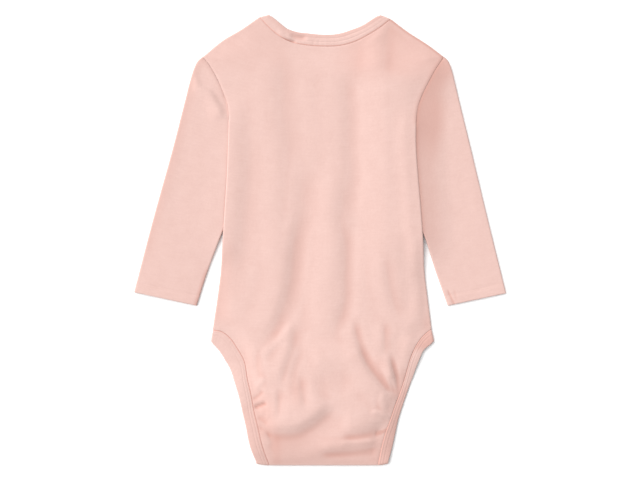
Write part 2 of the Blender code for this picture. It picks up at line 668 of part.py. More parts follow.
# ---- Snaps -------------------------------------------------------------------
# Turned halves, each with a post through its layer of cloth: radius and height.
Turn = namedtuple("Turn", "radius z")
CAP = [
    Turn(0.0, 2.45), Turn(2.35, 2.45), Turn(2.35, 3.00), Turn(4.3, 3.00), Turn(4.5, 2.80),
    Turn(4.5, 2.15), Turn(POST_RADIUS, 2.15), Turn(POST_RADIUS, 0.55), Turn(SNAP_RADIUS, 0.55),
    Turn(SNAP_RADIUS, 0.25), Turn(4.3, 0.0), Turn(0.0, 0.0),
]
STUD = [
    Turn(0.0, 5.80), Turn(4.1, 5.80), Turn(SNAP_RADIUS, 5.55), Turn(SNAP_RADIUS, 5.30),
    Turn(POST_RADIUS, 5.30), Turn(POST_RADIUS, 3.70), Turn(4.3, 3.70), Turn(4.3, 3.30),
    Turn(1.9, 3.30), Turn(2.0, 3.00), Turn(1.8, 2.75), Turn(0.0, 2.75),
]


def turned_mesh(name, profile):
    mesh = bpy.data.meshes.new(name)
    points = [(p.radius * MM, 0.0, p.z * MM) for p in profile]
    mesh.from_pydata(points, [(i, i + 1) for i in range(len(points) - 1)], [])
    return mesh


def turned(name, mesh, x):
    made = bpy.data.objects.new(name, mesh)
    bodysuit.objects.link(made)
    made.parent = garment
    made.location = (x * MM, SNAP_Y * MM, 0.0)
    screw = made.modifiers.new("turn", "SCREW")
    screw.axis = "Z"
    screw.angle = 2 * math.pi
    screw.steps = screw.render_steps = 16
    screw.use_merge_vertices = True
    screw.merge_threshold = 0.00001
    return made


halves = []
for kind, profile in (("snap_cap", CAP), ("snap_stud", STUD)):
    shared = turned_mesh(kind, profile)
    shared.materials.append(SNAP_METAL)
    for number, x in enumerate(SNAP_X, 1):
        halves.append(turned(f"{kind}_{number}", shared, x))


def punched(panel, name, low, high):
    """Three holes for the posts, as one cutter."""
    body = bmesh.new()
    for x in SNAP_X:
        made = bmesh.ops.create_cone(
            body, cap_ends=True, segments=16, radius1=(POST_RADIUS + SEAM) * MM,
            radius2=(POST_RADIUS + SEAM) * MM, depth=(high - low) * MM,
        )
        bmesh.ops.translate(body, verts=made["verts"], vec=(x * MM, SNAP_Y * MM, (low + high) / 2 * MM))
    mesh = bpy.data.meshes.new(name)
    body.to_mesh(mesh)
    body.free()
    cutter = bpy.data.objects.new(name, mesh)
    cutters.objects.link(cutter)
    cutter.hide_render = True
    cutter.display_type = "WIRE"
    hole = panel.modifiers.new("post_holes", "BOOLEAN")
    hole.operation = "DIFFERENCE"
    hole.solver = "EXACT"
    hole.object = cutter


punched(front, "tab_holes", -0.5, 2.8)
punched(back, "flap_holes", 2.9, 5.4)
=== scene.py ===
"""A long-sleeved baby bodysuit in pale pink jersey, laid flat with its back up.

Sizes in the tables are millimetres, in the same frame as the solids: +X right, +Y to
the neck, +Z up. MM turns them into metres. Each piece of cloth is made as its outer
surface, on the form of the solid that it stands for, and gets its wall inward.
"""

import math
from collections import namedtuple

import bpy
import numpy as np
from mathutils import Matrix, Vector


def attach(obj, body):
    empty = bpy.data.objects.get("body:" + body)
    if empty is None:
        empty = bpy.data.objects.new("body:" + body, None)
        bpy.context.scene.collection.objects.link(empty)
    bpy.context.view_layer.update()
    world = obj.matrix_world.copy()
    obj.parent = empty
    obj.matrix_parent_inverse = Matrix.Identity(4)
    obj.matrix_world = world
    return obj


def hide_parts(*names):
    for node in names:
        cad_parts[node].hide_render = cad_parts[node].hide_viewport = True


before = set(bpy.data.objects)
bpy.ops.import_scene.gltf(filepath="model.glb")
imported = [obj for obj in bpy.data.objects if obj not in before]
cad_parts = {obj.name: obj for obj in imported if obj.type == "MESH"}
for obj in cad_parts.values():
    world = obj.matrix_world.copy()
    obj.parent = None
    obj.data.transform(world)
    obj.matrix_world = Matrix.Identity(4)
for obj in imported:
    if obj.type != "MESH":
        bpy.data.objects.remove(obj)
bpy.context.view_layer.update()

MM = 0.001

# ---- Cloth (as in the solids) -------------------------------------------------
WALL = 1.0
BAND = 1.1
LOWER, UPPER = 0.5, 1.8
BODY_RISE, SLEEVE_RISE = 1.5, 1.2
FOLD_Y, FOLD_TOP = -208.1, 3.3
FLAP_END, FLAP_GROUND, FLAP_LEVEL = -165.0, 0.65, 2.0
TAB_END = -192.0
SNAP_Y = -181.0
SNAP_X = (-24.0, 3.0, 30.0)
SNAP_ROW_HALF, SNAP_ROW_REACH = 7.0, 14.0
SNAP_SIDE_FLAT, SNAP_SIDE_REACH = 36.0, 50.0
TAB_LIFT, FLAP_LIFT = 0.85, 2.5
POST_RADIUS, SNAP_RADIUS = 2.0, 4.7

# ---- Outlines ------------------------------------------------------------------
Point = namedtuple("Point", "x y")
SHOULDER_LEFT = [Point(-56.9, 207.6), Point(-74.7, 195.4), Point(-89.6, 186.7), Point(-109.2, 170.8)]
SHOULDER_RIGHT = [Point(66.0, 205.9), Point(81.4, 194.3), Point(102.4, 180.6), Point(115.4, 170.6)]
ARMHOLE_LEFT = [
    Point(-109.2, 170.8), Point(-102.7, 162.4), Point(-95.8, 150.3), Point(-90.5, 138.1),
    Point(-86.4, 126.9), Point(-85.2, 118.5), Point(-85.1, 112.0),
]
ARMHOLE_RIGHT = [
    Point(115.4, 170.6), Point(107.3, 158.7), Point(100.2, 145.6), Point(94.9, 134.8),
    Point(91.2, 124.6), Point(89.7, 116.5), Point(89.4, 110.0),
]
SIDE_LEFT = [
    Point(-85.1, 112.0), Point(-85.8, 88.0), Point(-86.8, 62.0), Point(-88.8, 30.0),
    Point(-90.6, 2.0), Point(-92.6, -30.0), Point(-95.4, -52.0), Point(-100.1, -83.4),
]
SIDE_RIGHT = [
    Point(89.4, 110.0), Point(89.5, 88.0), Point(91.2, 62.0), Point(93.9, 30.0),
    Point(95.9, 2.0), Point(97.2, -28.0), Point(100.2, -53.0), Point(103.9, -82.6),
]
SLEEVE_OUTER_LEFT = [
    Point(-109.5, 170.8), Point(-113.8, 167.2), Point(-118.0, 158.7), Point(-121.0, 149.0),
    Point(-125.7, 130.7), Point(-135.2, 93.3), Point(-155.8, 18.7), Point(-173.5, -48.7),
]
SLEEVE_INNER_LEFT = [
    Point(-82.8, 105.9), Point(-81.0, 92.0), Point(-79.6, 79.0), Point(-78.2, 56.0),
    Point(-82.2, 30.0), Point(-92.6, 3.0), Point(-105.9, -32.7), Point(-114.9, -61.2),
]
SLEEVE_OUTER_RIGHT = [
    Point(115.8, 170.6), Point(119.0, 167.5), Point(122.8, 158.7), Point(125.2, 149.3),
    Point(129.6, 130.7), Point(138.7, 93.3), Point(156.6, 18.7), Point(173.5, -49.6),
]
SLEEVE_INNER_RIGHT = [
    Point(87.1, 103.9), Point(85.2, 91.0), Point(83.4, 77.0), Point(81.6, 55.0),
    Point(86.0, 29.0), Point(97.6, 2.0), Point(107.4, -28.0), Point(118.9, -61.2),
]
# Below the armhole the sleeve's seam is tucked under the body.
TUCK_LEFT = [Point(-84.5, 108.6), Point(-82.8, 105.9)]
TUCK_RIGHT = [Point(88.8, 106.6), Point(87.1, 103.9)]
# The sleeve under each side of the body: where its lift starts and ends, over which
# lengths, how high it is, how far in it stays level, and where it has gone.
Under = namedtuple("Under", "high ramp_high low ramp_low rise flat reach")
UNDER_LEFT = Under(146.0, 34.0, -30.0, 25.0, 2.15, 3.0, 25.0)
UNDER_RIGHT = Under(156.0, 50.0, -44.0, 50.0, 4.4, 9.0, 34.0)
PLATEAU = 3.4  # of the right lift is carried by the back all the way to its middle
Level = namedtuple("Level", "y z")
SEAT = [  # the middle of the back's cloth, down the lower body
    Level(FOLD_Y, FOLD_TOP), Level(-192.0, 3.60), Level(-165.0, 3.60), Level(-125.0, 3.50),
    Level(-90.0, 3.00), Level(-40.0, 2.25), Level(10.0, UPPER),
]

Band = namedtuple("Band", "seam_x seam_y free_x free_y seam_z free_z")
NECK_BACK = [
    Band(-56.9, 207.6, -47.0, 210.0, 2.05, 2.05),
    Band(-47.5, 197.6, -38.0, 202.8, 2.05, 1.95),
    Band(-38.5, 190.2, -30.5, 197.0, 1.95, 1.50),
    Band(-27.0, 184.4, -22.0, 194.2, 1.75, 1.10),
    Band(-13.3, 181.6, -11.0, 192.8, 1.55, 0.85),
    Band(3.0, 180.4, 4.0, 191.6, 1.50, 0.80),
    Band(19.5, 181.2, 17.0, 192.4, 1.55, 0.85),
    Band(33.0, 185.0, 29.0, 196.0, 1.75, 1.10),
    Band(45.5, 191.4, 40.5, 200.6, 1.95, 1.50),
    Band(56.5, 198.3, 48.0, 205.4, 2.05, 1.95),
    Band(66.0, 205.9, 55.4, 210.0, 2.05, 2.05),
]
NECK_FRONT = [
    Band(66.0, 205.9, 55.4, 210.0, 0.55, 0.55),
    Band(62.8, 192.5, 51.8, 196.5, 0.55, 0.55),
    Band(56.0, 176.5, 46.5, 182.5, 0.55, 0.55),
    Band(42.5, 160.5, 35.5, 169.5, 0.55, 0.55),
    Band(24.0, 151.0, 20.5, 161.8, 0.55, 0.55),
    Band(4.0, 148.6, 4.0, 159.8, 0.55, 0.55),
    Band(-15.5, 151.0, -12.5, 161.8, 0.55, 0.55),
    Band(-33.5, 160.5, -27.0, 169.5, 0.55, 0.55),
    Band(-46.8, 176.5, -38.5, 182.5, 0.55, 0.55),
    Band(-53.8, 192.5, -44.5, 196.5, 0.55, 0.55),
    Band(-56.9, 207.6, -47.0, 210.0, 0.55, 0.55),
]
LEG_BACK_LEFT = [
    Band(-100.1, -83.4, -102.0, -95.0, 2.05, 2.05),
    Band(-91.9, -84.9, -97.0, -99.8, 2.20, 2.05),
    Band(-84.2, -90.5, -92.5, -105.2, 2.45, 2.00),
    Band(-76.5, -101.3, -88.3, -112.2, 2.80, 1.75),
    Band(-70.9, -111.1, -84.0, -119.5, 2.95, 1.55),
    Band(-67.2, -129.7, -79.4, -133.0, 3.05, 1.35),
    Band(-63.9, -143.5, -75.9, -144.2, 3.15, 1.25),
    Band(-60.9, -159.6, -72.0, -160.6, 3.30, 1.20),
    Band(-57.9, -171.7, -69.1, -173.0, 3.45, 1.30),
    Band(-53.2, -191.8, -64.8, -193.0, 3.55, 1.80),
    Band(-47.6, FOLD_Y, -59.6, FOLD_Y + 1.8, FOLD_TOP, FOLD_TOP),
]
LEG_BACK_RIGHT = [
    Band(103.9, -82.6, 106.0, -95.0, 2.05, 2.05),
    Band(96.9, -88.1, 101.5, -98.4, 2.30, 2.05),
    Band(90.7, -95.8, 97.0, -102.3, 2.60, 2.00),
    Band(84.5, -108.3, 92.6, -111.3, 2.85, 1.75),
    Band(79.1, -126.9, 87.2, -125.6, 3.00, 1.45),
    Band(73.7, -143.7, 80.9, -143.0, 3.15, 1.30),
    Band(69.8, -153.2, 77.6, -152.6, 3.25, 1.20),
    Band(65.4, -166.3, 73.3, -166.0, 3.40, 1.25),
    Band(60.2, -181.1, 70.0, -180.9, 3.50, 1.40),
    Band(57.0, -193.0, 67.4, -192.6, 3.55, 1.80),
    Band(54.0, FOLD_Y, 63.6, FOLD_Y + 1.8, FOLD_TOP, FOLD_TOP),
]
LEG_FRONT_LEFT = [
    Band(-100.1, -83.4, -102.0, -95.0, 0.55, 0.55),
    Band(-84.0, -91.5, -90.5, -101.5, 0.55, 0.55),
    Band(-70.0, -109.0, -79.6, -115.0, 0.55, 0.55),
    Band(-59.0, -133.0, -69.6, -137.0, 0.55, 0.55),
    Band(-50.5, -160.0, -61.2, -162.2, 0.55, 0.55),
    Band(-46.4, -178.0, -57.3, -179.0, 0.55, 0.55),
    Band(-45.4, TAB_END, -56.3, TAB_END, 0.55, 0.55),
]
LEG_FRONT_RIGHT = [
    Band(103.9, -82.6, 106.0, -95.0, 0.55, 0.55),
    Band(90.0, -91.5, 96.2, -101.5, 0.55, 0.55),
    Band(76.5, -109.0, 85.8, -115.0, 0.55, 0.55),
    Band(65.6, -133.0, 76.2, -137.0, 0.55, 0.55),
    Band(56.8, -160.0, 67.4, -162.2, 0.55, 0.55),
    Band(52.8, -178.0, 63.6, -179.0, 0.55, 0.55),
    Band(51.8, TAB_END, 62.6, TAB_END, 0.55, 0.55),
]
Flap = namedtuple("Flap", "y seam_left free_left seam_right free_right")
FLAP = [
    Flap(FOLD_Y, -47.6, -59.6, 54.0, 63.6),
    Flap(-201.0, -46.8, -57.9, 53.2, 63.2),
    Flap(-195.0, -46.2, -56.8, 52.5, 62.8),
    Flap(-188.0, -45.5, -55.9, 51.8, 62.2),
    Flap(-174.0, -44.2, -54.6, 50.4, 60.8),
    Flap(-169.0, -43.7, -54.1, 49.9, 60.3),
    Flap(FLAP_END, -43.4, -53.8, 49.5, 59.9),
]

# ---- Folds ---------------------------------------------------------------------
# A wave is high on one side of its line and low on the other: it falls by `drop`
# over `width`, then levels out over `left` and `right`. The low side is to the right
# of a line that runs down, and below one that runs to the left. A ridge stands up
# by `drop` (a trough has a drop below 0), `left` and `right` wide. Each line fades
# over `fade` of its length at both ends.
Wave = namedtuple("Wave", "line width drop left right fade")
Ridge = namedtuple("Ridge", "line drop left right fade")

BACK_WAVES = [
    # soft ones in the upper body
    Wave([(-38, 182), (-38, 150), (-37, 120), (-33, 90), (-34, 60)], 20, 1.1, 24, 22, 0.30),
    Wave([(25, 165), (22, 140), (24, 120), (24, 90), (26, 60), (23, 35), (24, 10)], 16, 0.9, 20, 12, 0.20),
    Wave([(59, 210), (60, 182), (57, 146)], 18, 1.4, 16, 34, 0.30),
    # the broad swells of the waist
    Wave([(-50, 104), (-51, 70), (-54, 35), (-57, 0), (-58, -40)], 22, -0.9, 14, 14, 0.28),
    Wave([(0, 84), (-1, 30), (-2, 0), (-5, -30), (-7, -60), (-3, -108)], 22, -1.5, 16, 14, 0.25),
    # from the middle of the waist to the left leg
    Wave([(-20, 33), (-24.5, 14), (-27, 0), (-29, -20), (-31.5, -40), (-35.5, -58), (-41, -74), (-50, -89),
          (-60, -103)], 14, 1.6, 22, 13, 0.29),
    Wave([(-77, -2), (-80, -26), (-86, -60)], 14, 0.55, 14, 18, 0.35),
    # straight down, right of the middle
    Wave([(20, 22), (22.5, -10), (21.5, -35), (21.5, -52), (18.5, -68), (12, -90)], 11, 1.1, 14, 12, 0.24),
    # the deep one to the right leg, and those beside it
    Wave([(29, -71), (32, -86), (35, -96), (38.5, -106.5), (44, -118.5)], 7, 1.0, 14, 8, 0.32),
    Wave([(34.5, -97), (38.5, -107.5), (44, -118.5), (52.5, -130), (62.5, -140.5), (71, -148), (76, -154)],
         8.5, 2.0, 20, 10, 0.30),
    Wave([(58, -72), (59, -90), (58.5, -110)], 6, 0.65, 10, 9, 0.35),
    Wave([(57, -8), (62, -38), (66, -56), (71, -70), (76, -80)], 10, 0.75, 14, 16, 0.30),
    Wave([(63, -104), (66, -116), (69, -128), (71.5, -140), (71.5, -150), (67, -161)], 5, 1.6, 9, 6, 0.28),
    # below the left ridge
    Wave([(-25, -76), (-26, -88), (-27.5, -100), (-31.5, -112), (-36, -125), (-39.5, -141)], 9, 1.1, 12, 14, 0.28),
    Wave([(-18, -92), (-20.5, -106), (-24.5, -118), (-26.5, -131), (-23.5, -148)], 9, 0.75, 14, 18, 0.30),
    # beside the left binding
    Wave([(-57, -97), (-60.5, -108), (-60.5, -120), (-57.5, -131), (-58, -141)], 8, 0.75, 9, 8, 0.30),
    Wave([(-40, -134), (-40, -152), (-40, -170)], 6, 0.75, 9, 9, 0.32),
    Wave([(-21, -122), (-17.5, -144), (-15, -160)], 7, 0.8, 14, 9, 0.35),
    # across the seat, low side down
    Wave([(36, -124), (15, -121), (-10, -124)], 26, 1.3, 20, 22, 0.30),
    Wave([(14, -149), (7, -156.5), (-1, -164), (-10.5, -171), (-21, -176.5), (-34, -178), (-56, -173)],
         15, 3.1, 34, 22, 0.24),
    Wave([(76, -158), (63, -168), (51, -174), (36, -178.5), (18, -180)], 15, 1.8, 26, 10, 0.20),
    Wave([(60, -188.5), (48, -191.5), (32, -194), (14, -196), (-4, -196.5)], 9, 1.3, 8, 10, 0.22),
]
# The right side levels out towards its edge: broad, and no creases.
BACK_SWELLS = [
    Wave([(83, 8), (85, -25), (88, -54), (86, -82)], 11, -0.8, 10, 7, 0.26),
    Wave([(81, -84), (78, -97), (76.5, -110), (77, -124)], 13, -1.2, 10, 7, 0.28),
]
BACK_RIDGES = [
    # the thin bright ridge to the left leg
    Ridge([(-23, -75), (-34, -88.5), (-44, -99), (-52, -106), (-58, -111)], 0.4, 4.2, 3.4, 0.20),
    # the thin fold at the lower right, with its ridge above the shadow
    Ridge([(54, -185.8), (44, -186.9), (32, -187.9), (16, -188.2)], 0.6, 2.6, 2.6, 0.25),
    Ridge([(67, -172.5), (60.5, -177.5), (50, -181.5)], -1.2, 2.2, 1.8, 0.28),
    # left pit, then puckers along the left binding
    Ridge([(-62, -156), (-56, -153.8), (-49, -150.8)], -1.25, 1.9, 1.6, 0.25),
    Ridge([(-57, -159.5), (-51, -160.5), (-46, -165)], 0.3, 2.2, 2.4, 0.25),
    Ridge([(-59, -164), (-54, -167), (-47.5, -172.5)], -0.32, 2.2, 2.6, 0.25),
    Ridge([(-59, -171.5), (-51.5, -177.5), (-44, -184)], -0.28, 2.2, 2.4, 0.25),
    Ridge([(-54, -175), (-50, -183), (-46, -192)], 0.3, 2.2, 2.2, 0.25),
    Ridge([(-62, -140), (-57, -134.5), (-51, -126)], 0.45, 2.8, 2.8, 0.30),
    Ridge([(-64, -149), (-58, -145.5), (-52, -139)], -0.45, 1.9, 1.9, 0.25),
    # puckers along the right binding
    Ridge([(65, -125), (67.5, -134), (70, -145)], -0.4, 1.6, 1.5, 0.3),
    Ridge([(57, -139), (53.5, -148), (55.5, -160)], -0.22, 2.4, 2.4, 0.25),
    Ridge([(62, -139), (59.5, -148), (61, -159)], 0.15, 2.4, 2.6, 0.25),
    Ridge([(67, -166), (58, -162), (46, -159)], 0.6, 2.4, 2.4, 0.25),
]

# Pressed into the neckband where it is pinched, left of the middle.
NECK_FOLDS = [
    Ridge([(-30, 190.8), (-21, 188.8), (-11, 188.0)], -1.0, 2.4, 2.2, 0.30),
    Ridge([(-37, 187.5), (-29, 185.2), (-21, 184.0)], -1.2, 1.8, 1.6, 0.30),
    Ridge([(-40, 196.0), (-33, 190.0), (-22, 187.0)], 0.6, 2.0, 2.0, 0.30),
]
SLEEVE_LEFT_WAVES = [
    Wave([(-119, 161), (-110, 145), (-101, 138.5), (-95.5, 130.5), (-91, 121.5), (-88, 110)], 8, 2.1, 12, 8, 0.17),
    Wave([(-128, 118), (-134, 80), (-142, 40), (-150, 0)], 22, 0.7, 22, 20, 0.30),
    Wave([(-105, 60), (-108, 30), (-112, 0)], 18, -0.3, 18, 14, 0.30),
]
SLEEVE_RIGHT_WAVES = [
    Wave([(136, 110), (138, 70), (142, 30), (150, -10)], 24, -0.5, 22, 22, 0.30),
]
# The end of the underarm seam, where it shows on the right cuff.
CUFF_SEAM = [
    Ridge([(118.4, -45.5), (120.2, -49.5), (125.4, -60.6), (127.0, -64.0)], -0.32, 1.0, 1.0, 0.18),
    Ridge([(124.2, -44.5), (126.2, -52.0), (127.5, -58.0)], -0.14, 1.0, 1.0, 0.30),
]
# Shallow creases in the front, which lies on the surface: they press up into it.
FRONT_RIDGES = [
    Ridge([(-40, 120), (-34, 70), (-30, 20)], 0.5, 7, 9, 0.30),
    Ridge([(30, 110), (34, 60), (28, 5)], 0.45, 8, 8, 0.30),
    Ridge([(-10, 40), (-16, -10), (-30, -60)], 0.5, 7, 7, 0.30),
    Ridge([(22, -20), (34, -70), (48, -120)], 0.6, 6, 7, 0.25),
    Ridge([(-38, -70), (-34, -110), (-28, -150)], 0.55, 6, 6, 0.25),
    Ridge([(4, -60), (8, -110), (4, -160)], 0.4, 7, 7, 0.30),
    Ridge([(-46, -120), (-38, -128), (-28, -132)], 0.4, 4, 4, 0.30),
    Ridge([(56, -118), (46, -128), (36, -133)], 0.45, 4, 4, 0.30),
]


# ---- Lines and fields ------------------------------------------------------------
def smooth(t):
    t = np.clip(t, 0.0, 1.0)
    return t * t * (3.0 - 2.0 * t)


def higher(a, b, soft=0.8):
    """The larger of two heights, with a soft passage from one to the other."""
    return 0.5 * (a + b + np.sqrt((a - b) ** 2 + soft * soft) - soft)


def level_then_falls(distance, flat, reach):
    return 1.0 - smooth((np.abs(distance) - flat) / (reach - flat))


def along(rows, shares):
    """Points at these shares of a smooth line's length; the line passes through the rows."""
    points = np.array(rows, float)
    steps = np.linalg.norm(np.diff(points[:, :2], axis=0), axis=1)
    slopes = np.diff(points, axis=0) / steps[:, None]
    middle = (steps[1:, None] * slopes[:-1] + steps[:-1, None] * slopes[1:]) / (steps[1:] + steps[:-1])[:, None]
    tangents = np.concatenate([slopes[:1], middle, slopes[-1:]])
    lengths = np.concatenate([[0.0], np.cumsum(steps)])
    s = np.asarray(shares, float) * lengths[-1]
    i = np.clip(np.searchsorted(lengths, s, side="right") - 1, 0, len(steps) - 1)
    h = steps[i][:, None]
    t = ((s - lengths[i]) / steps[i])[:, None]
    return (
        (2 * t**3 - 3 * t**2 + 1) * points[i] + (t**3 - 2 * t**2 + t) * h * tangents[i]
        + (3 * t**2 - 2 * t**3) * points[i + 1] + (t**3 - t**2) * h * tangents[i + 1]
    )


def length_of(line):
    return float(np.linalg.norm(np.diff(np.asarray(line)[:, :2], axis=0), axis=1).sum())


def seam_line(rows, shares):
    return along([(r.seam_x, r.seam_y, r.seam_z) for r in rows], shares)


def free_line(rows, shares):
    return along([(r.free_x, r.free_y, r.free_z) for r in rows], shares)


def near_ends(count, fine, reach):
    """Shares from 0 to 1, `count` even steps, with a few close ones at both ends:
    `fine` are parts of `reach`, itself a share."""
    inner = np.linspace(reach, 1.0 - reach, count + 1)
    ends = np.array(fine) * reach
    return np.concatenate([ends, inner, 1.0 - ends[::-1]])


FINE = (0.0, 0.04, 0.12, 0.26, 0.46, 0.72)


def plan_between(top, bottom, left, right):
    """A grid of plan points whose four edges are these lines, rows from top to bottom.
    The bow of the top line dies out well above the legs."""

    def shares(first, second):
        total = np.zeros(len(first))
        for line in (first, second):
            steps = np.linalg.norm(np.diff(line[:, :2], axis=0), axis=1)
            total += np.concatenate([[0.0], np.cumsum(steps)]) / steps.sum() / 2
        return total

    u = shares(top, bottom)[None, :, None]
    v = shares(left, right)[:, None, None]
    across = (1 - u) * left[:, None] + u * right[:, None]
    bow = top[None] - ((1 - u) * top[0] + u * top[-1])
    low_bow = bottom[None] - ((1 - u) * bottom[0] + u * bottom[-1])
    return across + (1 - v) ** 3 * bow + v**3 * low_bow


def evened(grid, height, rounds):
    """The heights of a plan grid evened out inside its edges; even slopes stay."""
    plan, height = grid[..., :2], height.copy()
    down = np.linalg.norm(np.diff(plan, axis=0), axis=2)[:, 1:-1]
    over = np.linalg.norm(np.diff(plan, axis=1), axis=2)[1:-1]
    above = down[1:] / (down[1:] + down[:-1])
    before = over[:, 1:] / (over[:, 1:] + over[:, :-1])
    for _ in range(rounds):
        height[1:-1, 1:-1] = (
            above * height[:-2, 1:-1] + (1 - above) * height[2:, 1:-1]
            + before * height[1:-1, :-2] + (1 - before) * height[1:-1, 2:]
        ) / 2
    return height


def relaxed(grid, rounds):
    """Evens out a plan grid inside its edges."""
    for _ in range(rounds):
        inner = (grid[:-2, 1:-1] + grid[2:, 1:-1] + grid[1:-1, :-2] + grid[1:-1, 2:]) / 4
        grid[1:-1, 1:-1] = inner
    return grid


def nearest_on(line, x, y, samples=90):
    """Signed distance from a line (above 0 on its low side), share along it, and how
    far a point is beyond its ends."""
    curve = along(line, np.linspace(0.0, 1.0, samples))
    a, b = curve[:-1], curve[1:]
    step = b - a
    size = np.linalg.norm(step, axis=1)
    best = np.full(x.shape, 1e9)
    signed, share, beyond = np.zeros(x.shape), np.zeros(x.shape), np.zeros(x.shape)
    for k in range(len(a)):
        tx, ty = step[k] / size[k]
        px, py = x - a[k, 0], y - a[k, 1]
        t = px * tx + py * ty
        held = np.clip(t, 0.0, size[k])
        off = np.hypot(px - held * tx, py - held * ty)
        closer = off < best
        side = -px * ty + py * tx
        best = np.where(closer, off, best)
        signed = np.where(closer, side, signed)
        share = np.where(closer, (k + held / size[k]) / len(a), share)
        beyond = np.where(closer, np.abs(t - held), beyond)
    return signed, share, beyond


def near_line(line, x, y, reach):
    spots = along(line, np.linspace(0.0, 1.0, 30))
    low, high = spots.min(axis=0) - reach, spots.max(axis=0) + reach
    return (x > low[0]) & (x < high[0]) & (y > low[1]) & (y < high[1])


def waves(x, y, table):
    """The height that these waves add."""
    height = np.zeros(x.shape)
    for w in table:
        found = near_line(w.line, x, y, w.width + max(w.left, w.right))
        d, share, beyond = nearest_on(w.line, x[found], y[found])
        half = w.width / 2
        middle = -np.sin(np.clip(d / half, -1, 1) * math.pi / 2)
        before = 0.5 + 0.5 * np.cos(np.clip((-d - half) / w.left, 0, 1) * math.pi)
        after = 0.5 + 0.5 * np.cos(np.clip((d - half) / w.right, 0, 1) * math.pi)
        form = np.where(d < -half, before, np.where(d > half, -after, middle))
        fade = smooth(share / w.fade) * smooth((1 - share) / w.fade) * np.exp(-((beyond / w.width) ** 2))
        height[found] += 0.5 * w.drop * form * fade
    return height


def ridges(x, y, table):
    height = np.zeros(x.shape)
    for r in table:
        found = near_line(r.line, x, y, 3 * max(r.left, r.right))
        d, share, beyond = nearest_on(r.line, x[found], y[found], 40)
        form = np.exp(-((d / np.where(d < 0, r.left, r.right)) ** 2))
        wide = max(r.left, r.right)
        fade = smooth(share / r.fade) * smooth((1 - share) / r.fade) * np.exp(-((beyond / wide) ** 2))
        height[found] += r.drop * form * fade
    return height


def sleeve_lift(y, under, inward=0.0):
    """How far one side of the body is lifted by the sleeve under it: the ramps at both
    ends are short at the edge and long inside."""
    soft = 24.0 * smooth((inward - 6.0) / 22.0)
    starts = smooth((under.high + soft - y) / (under.ramp_high + 2 * soft))
    ends = smooth((y - under.low + soft) / (under.ramp_low + 2 * soft))
    return under.rise * starts * ends


def over_sleeves(y, both):
    """The lift over both sleeves; `both` are the distances from the left and right edge."""
    return sum(
        sleeve_lift(y, under, distance) * level_then_falls(distance, under.flat, under.reach)
        for distance, under in zip(both, (UNDER_LEFT, UNDER_RIGHT))
    )


def smooth_levels(y, rows):
    """A height that runs smoothly through these levels, and stays level beyond them."""
    rows = sorted(rows)
    places = np.linspace(rows[0].y, rows[-1].y, 200)
    heights = np.interp(places, [r.y for r in rows], [r.z for r in rows])
    kernel = np.hanning(33)
    padded = np.pad(heights, 16, mode="edge")
    return np.interp(y, places, np.convolve(padded, kernel / kernel.sum(), mode="valid"))


def snap_row(x, y):
    beside = level_then_falls(x - SNAP_X[1], SNAP_SIDE_FLAT, SNAP_SIDE_REACH)
    return level_then_falls(y - SNAP_Y, SNAP_ROW_HALF, SNAP_ROW_REACH) * (0.3 + 0.7 * beside)


def back_lift(x, y):
    """The back's rise over the snaps: short below them, long above."""
    beside = 1.0 - smooth((np.abs(x - SNAP_X[1]) - 32.0) / 22.0)
    return (0.5 + 0.7 * beside) * smooth((-112.0 - y) / 56.0) * rounded(y)


def cap_rise(share):
    return SLEEVE_RISE * (1.0 - (2.0 * share - 1.0) ** 2)


def seam_dip(distance, depth, reach):
    """How far cloth dips at a seam: a soft valley's flank."""
    q = np.clip(1.0 - distance / reach, 0.0, 1.0)
    return depth * q * q


def round_edge(distance, radius):
    """How far cloth falls where it turns over an edge: a quarter circle."""
    q = np.clip(1.0 - distance / radius, 0.0, 1.0)
    return radius * (1.0 - np.sqrt(np.clip(1.0 - q * q, 0.0, 1.0)))


def border(edge, x, y):
    """In plan, how far each point is from an edge, and at which of its rows."""
    best, row = np.full(x.shape, 1e9), np.zeros(x.shape)
    for k in range(len(edge) - 1):
        sx, sy = edge[k + 1] - edge[k]
        px, py = x - edge[k, 0], y - edge[k, 1]
        t = np.clip((px * sx + py * sy) / (sx * sx + sy * sy), 0.0, 1.0)
        off = np.hypot(px - t * sx, py - t * sy)
        closer = off < best
        best = np.where(closer, off, best)
        row = np.where(closer, k + t, row)
    return best, row


def soft_border(edge, hip, x, y, soft=4.0):
    """The same for the part above the hip and the leg below it, and the distance that
    passes softly from one to the other, with the upper part's share in it."""
    above, row_above = border(edge[:hip + 1], x, y)
    below, row_below = border(edge[hip:], x, y)
    lean = np.clip((above - below) / soft, -30.0, 30.0)
    share = 1.0 / (1.0 + np.exp(lean))
    least = np.minimum(above, below)
    near = least - soft * np.log1p(np.exp(-np.abs(above - below) / soft))
    near = np.clip(near + soft * math.log(2.0) * np.exp(-least / soft), 0.0, None)
    return near, share, row_above, row_below + hip


def edge_distance(grid, side):
    """In plan, how far each point is from one edge of its grid, square to that edge."""
    plan = grid[:, :, :2]
    if side in ("left", "right"):
        edge = plan[:, 0] if side == "left" else plan[:, -1]
        run = np.gradient(edge, axis=0)
        run /= np.linalg.norm(run, axis=1)[:, None]
        off = plan - edge[:, None]
        return np.abs(off[..., 0] * -run[:, None, 1] + off[..., 1] * run[:, None, 0])
    edge = plan[0] if side == "top" else plan[-1]
    run = np.gradient(edge, axis=0)
    run /= np.linalg.norm(run, axis=1)[:, None]
    off = plan - edge[None]
    return np.abs(off[..., 0] * -run[None, :, 1] + off[..., 1] * run[None, :, 0])


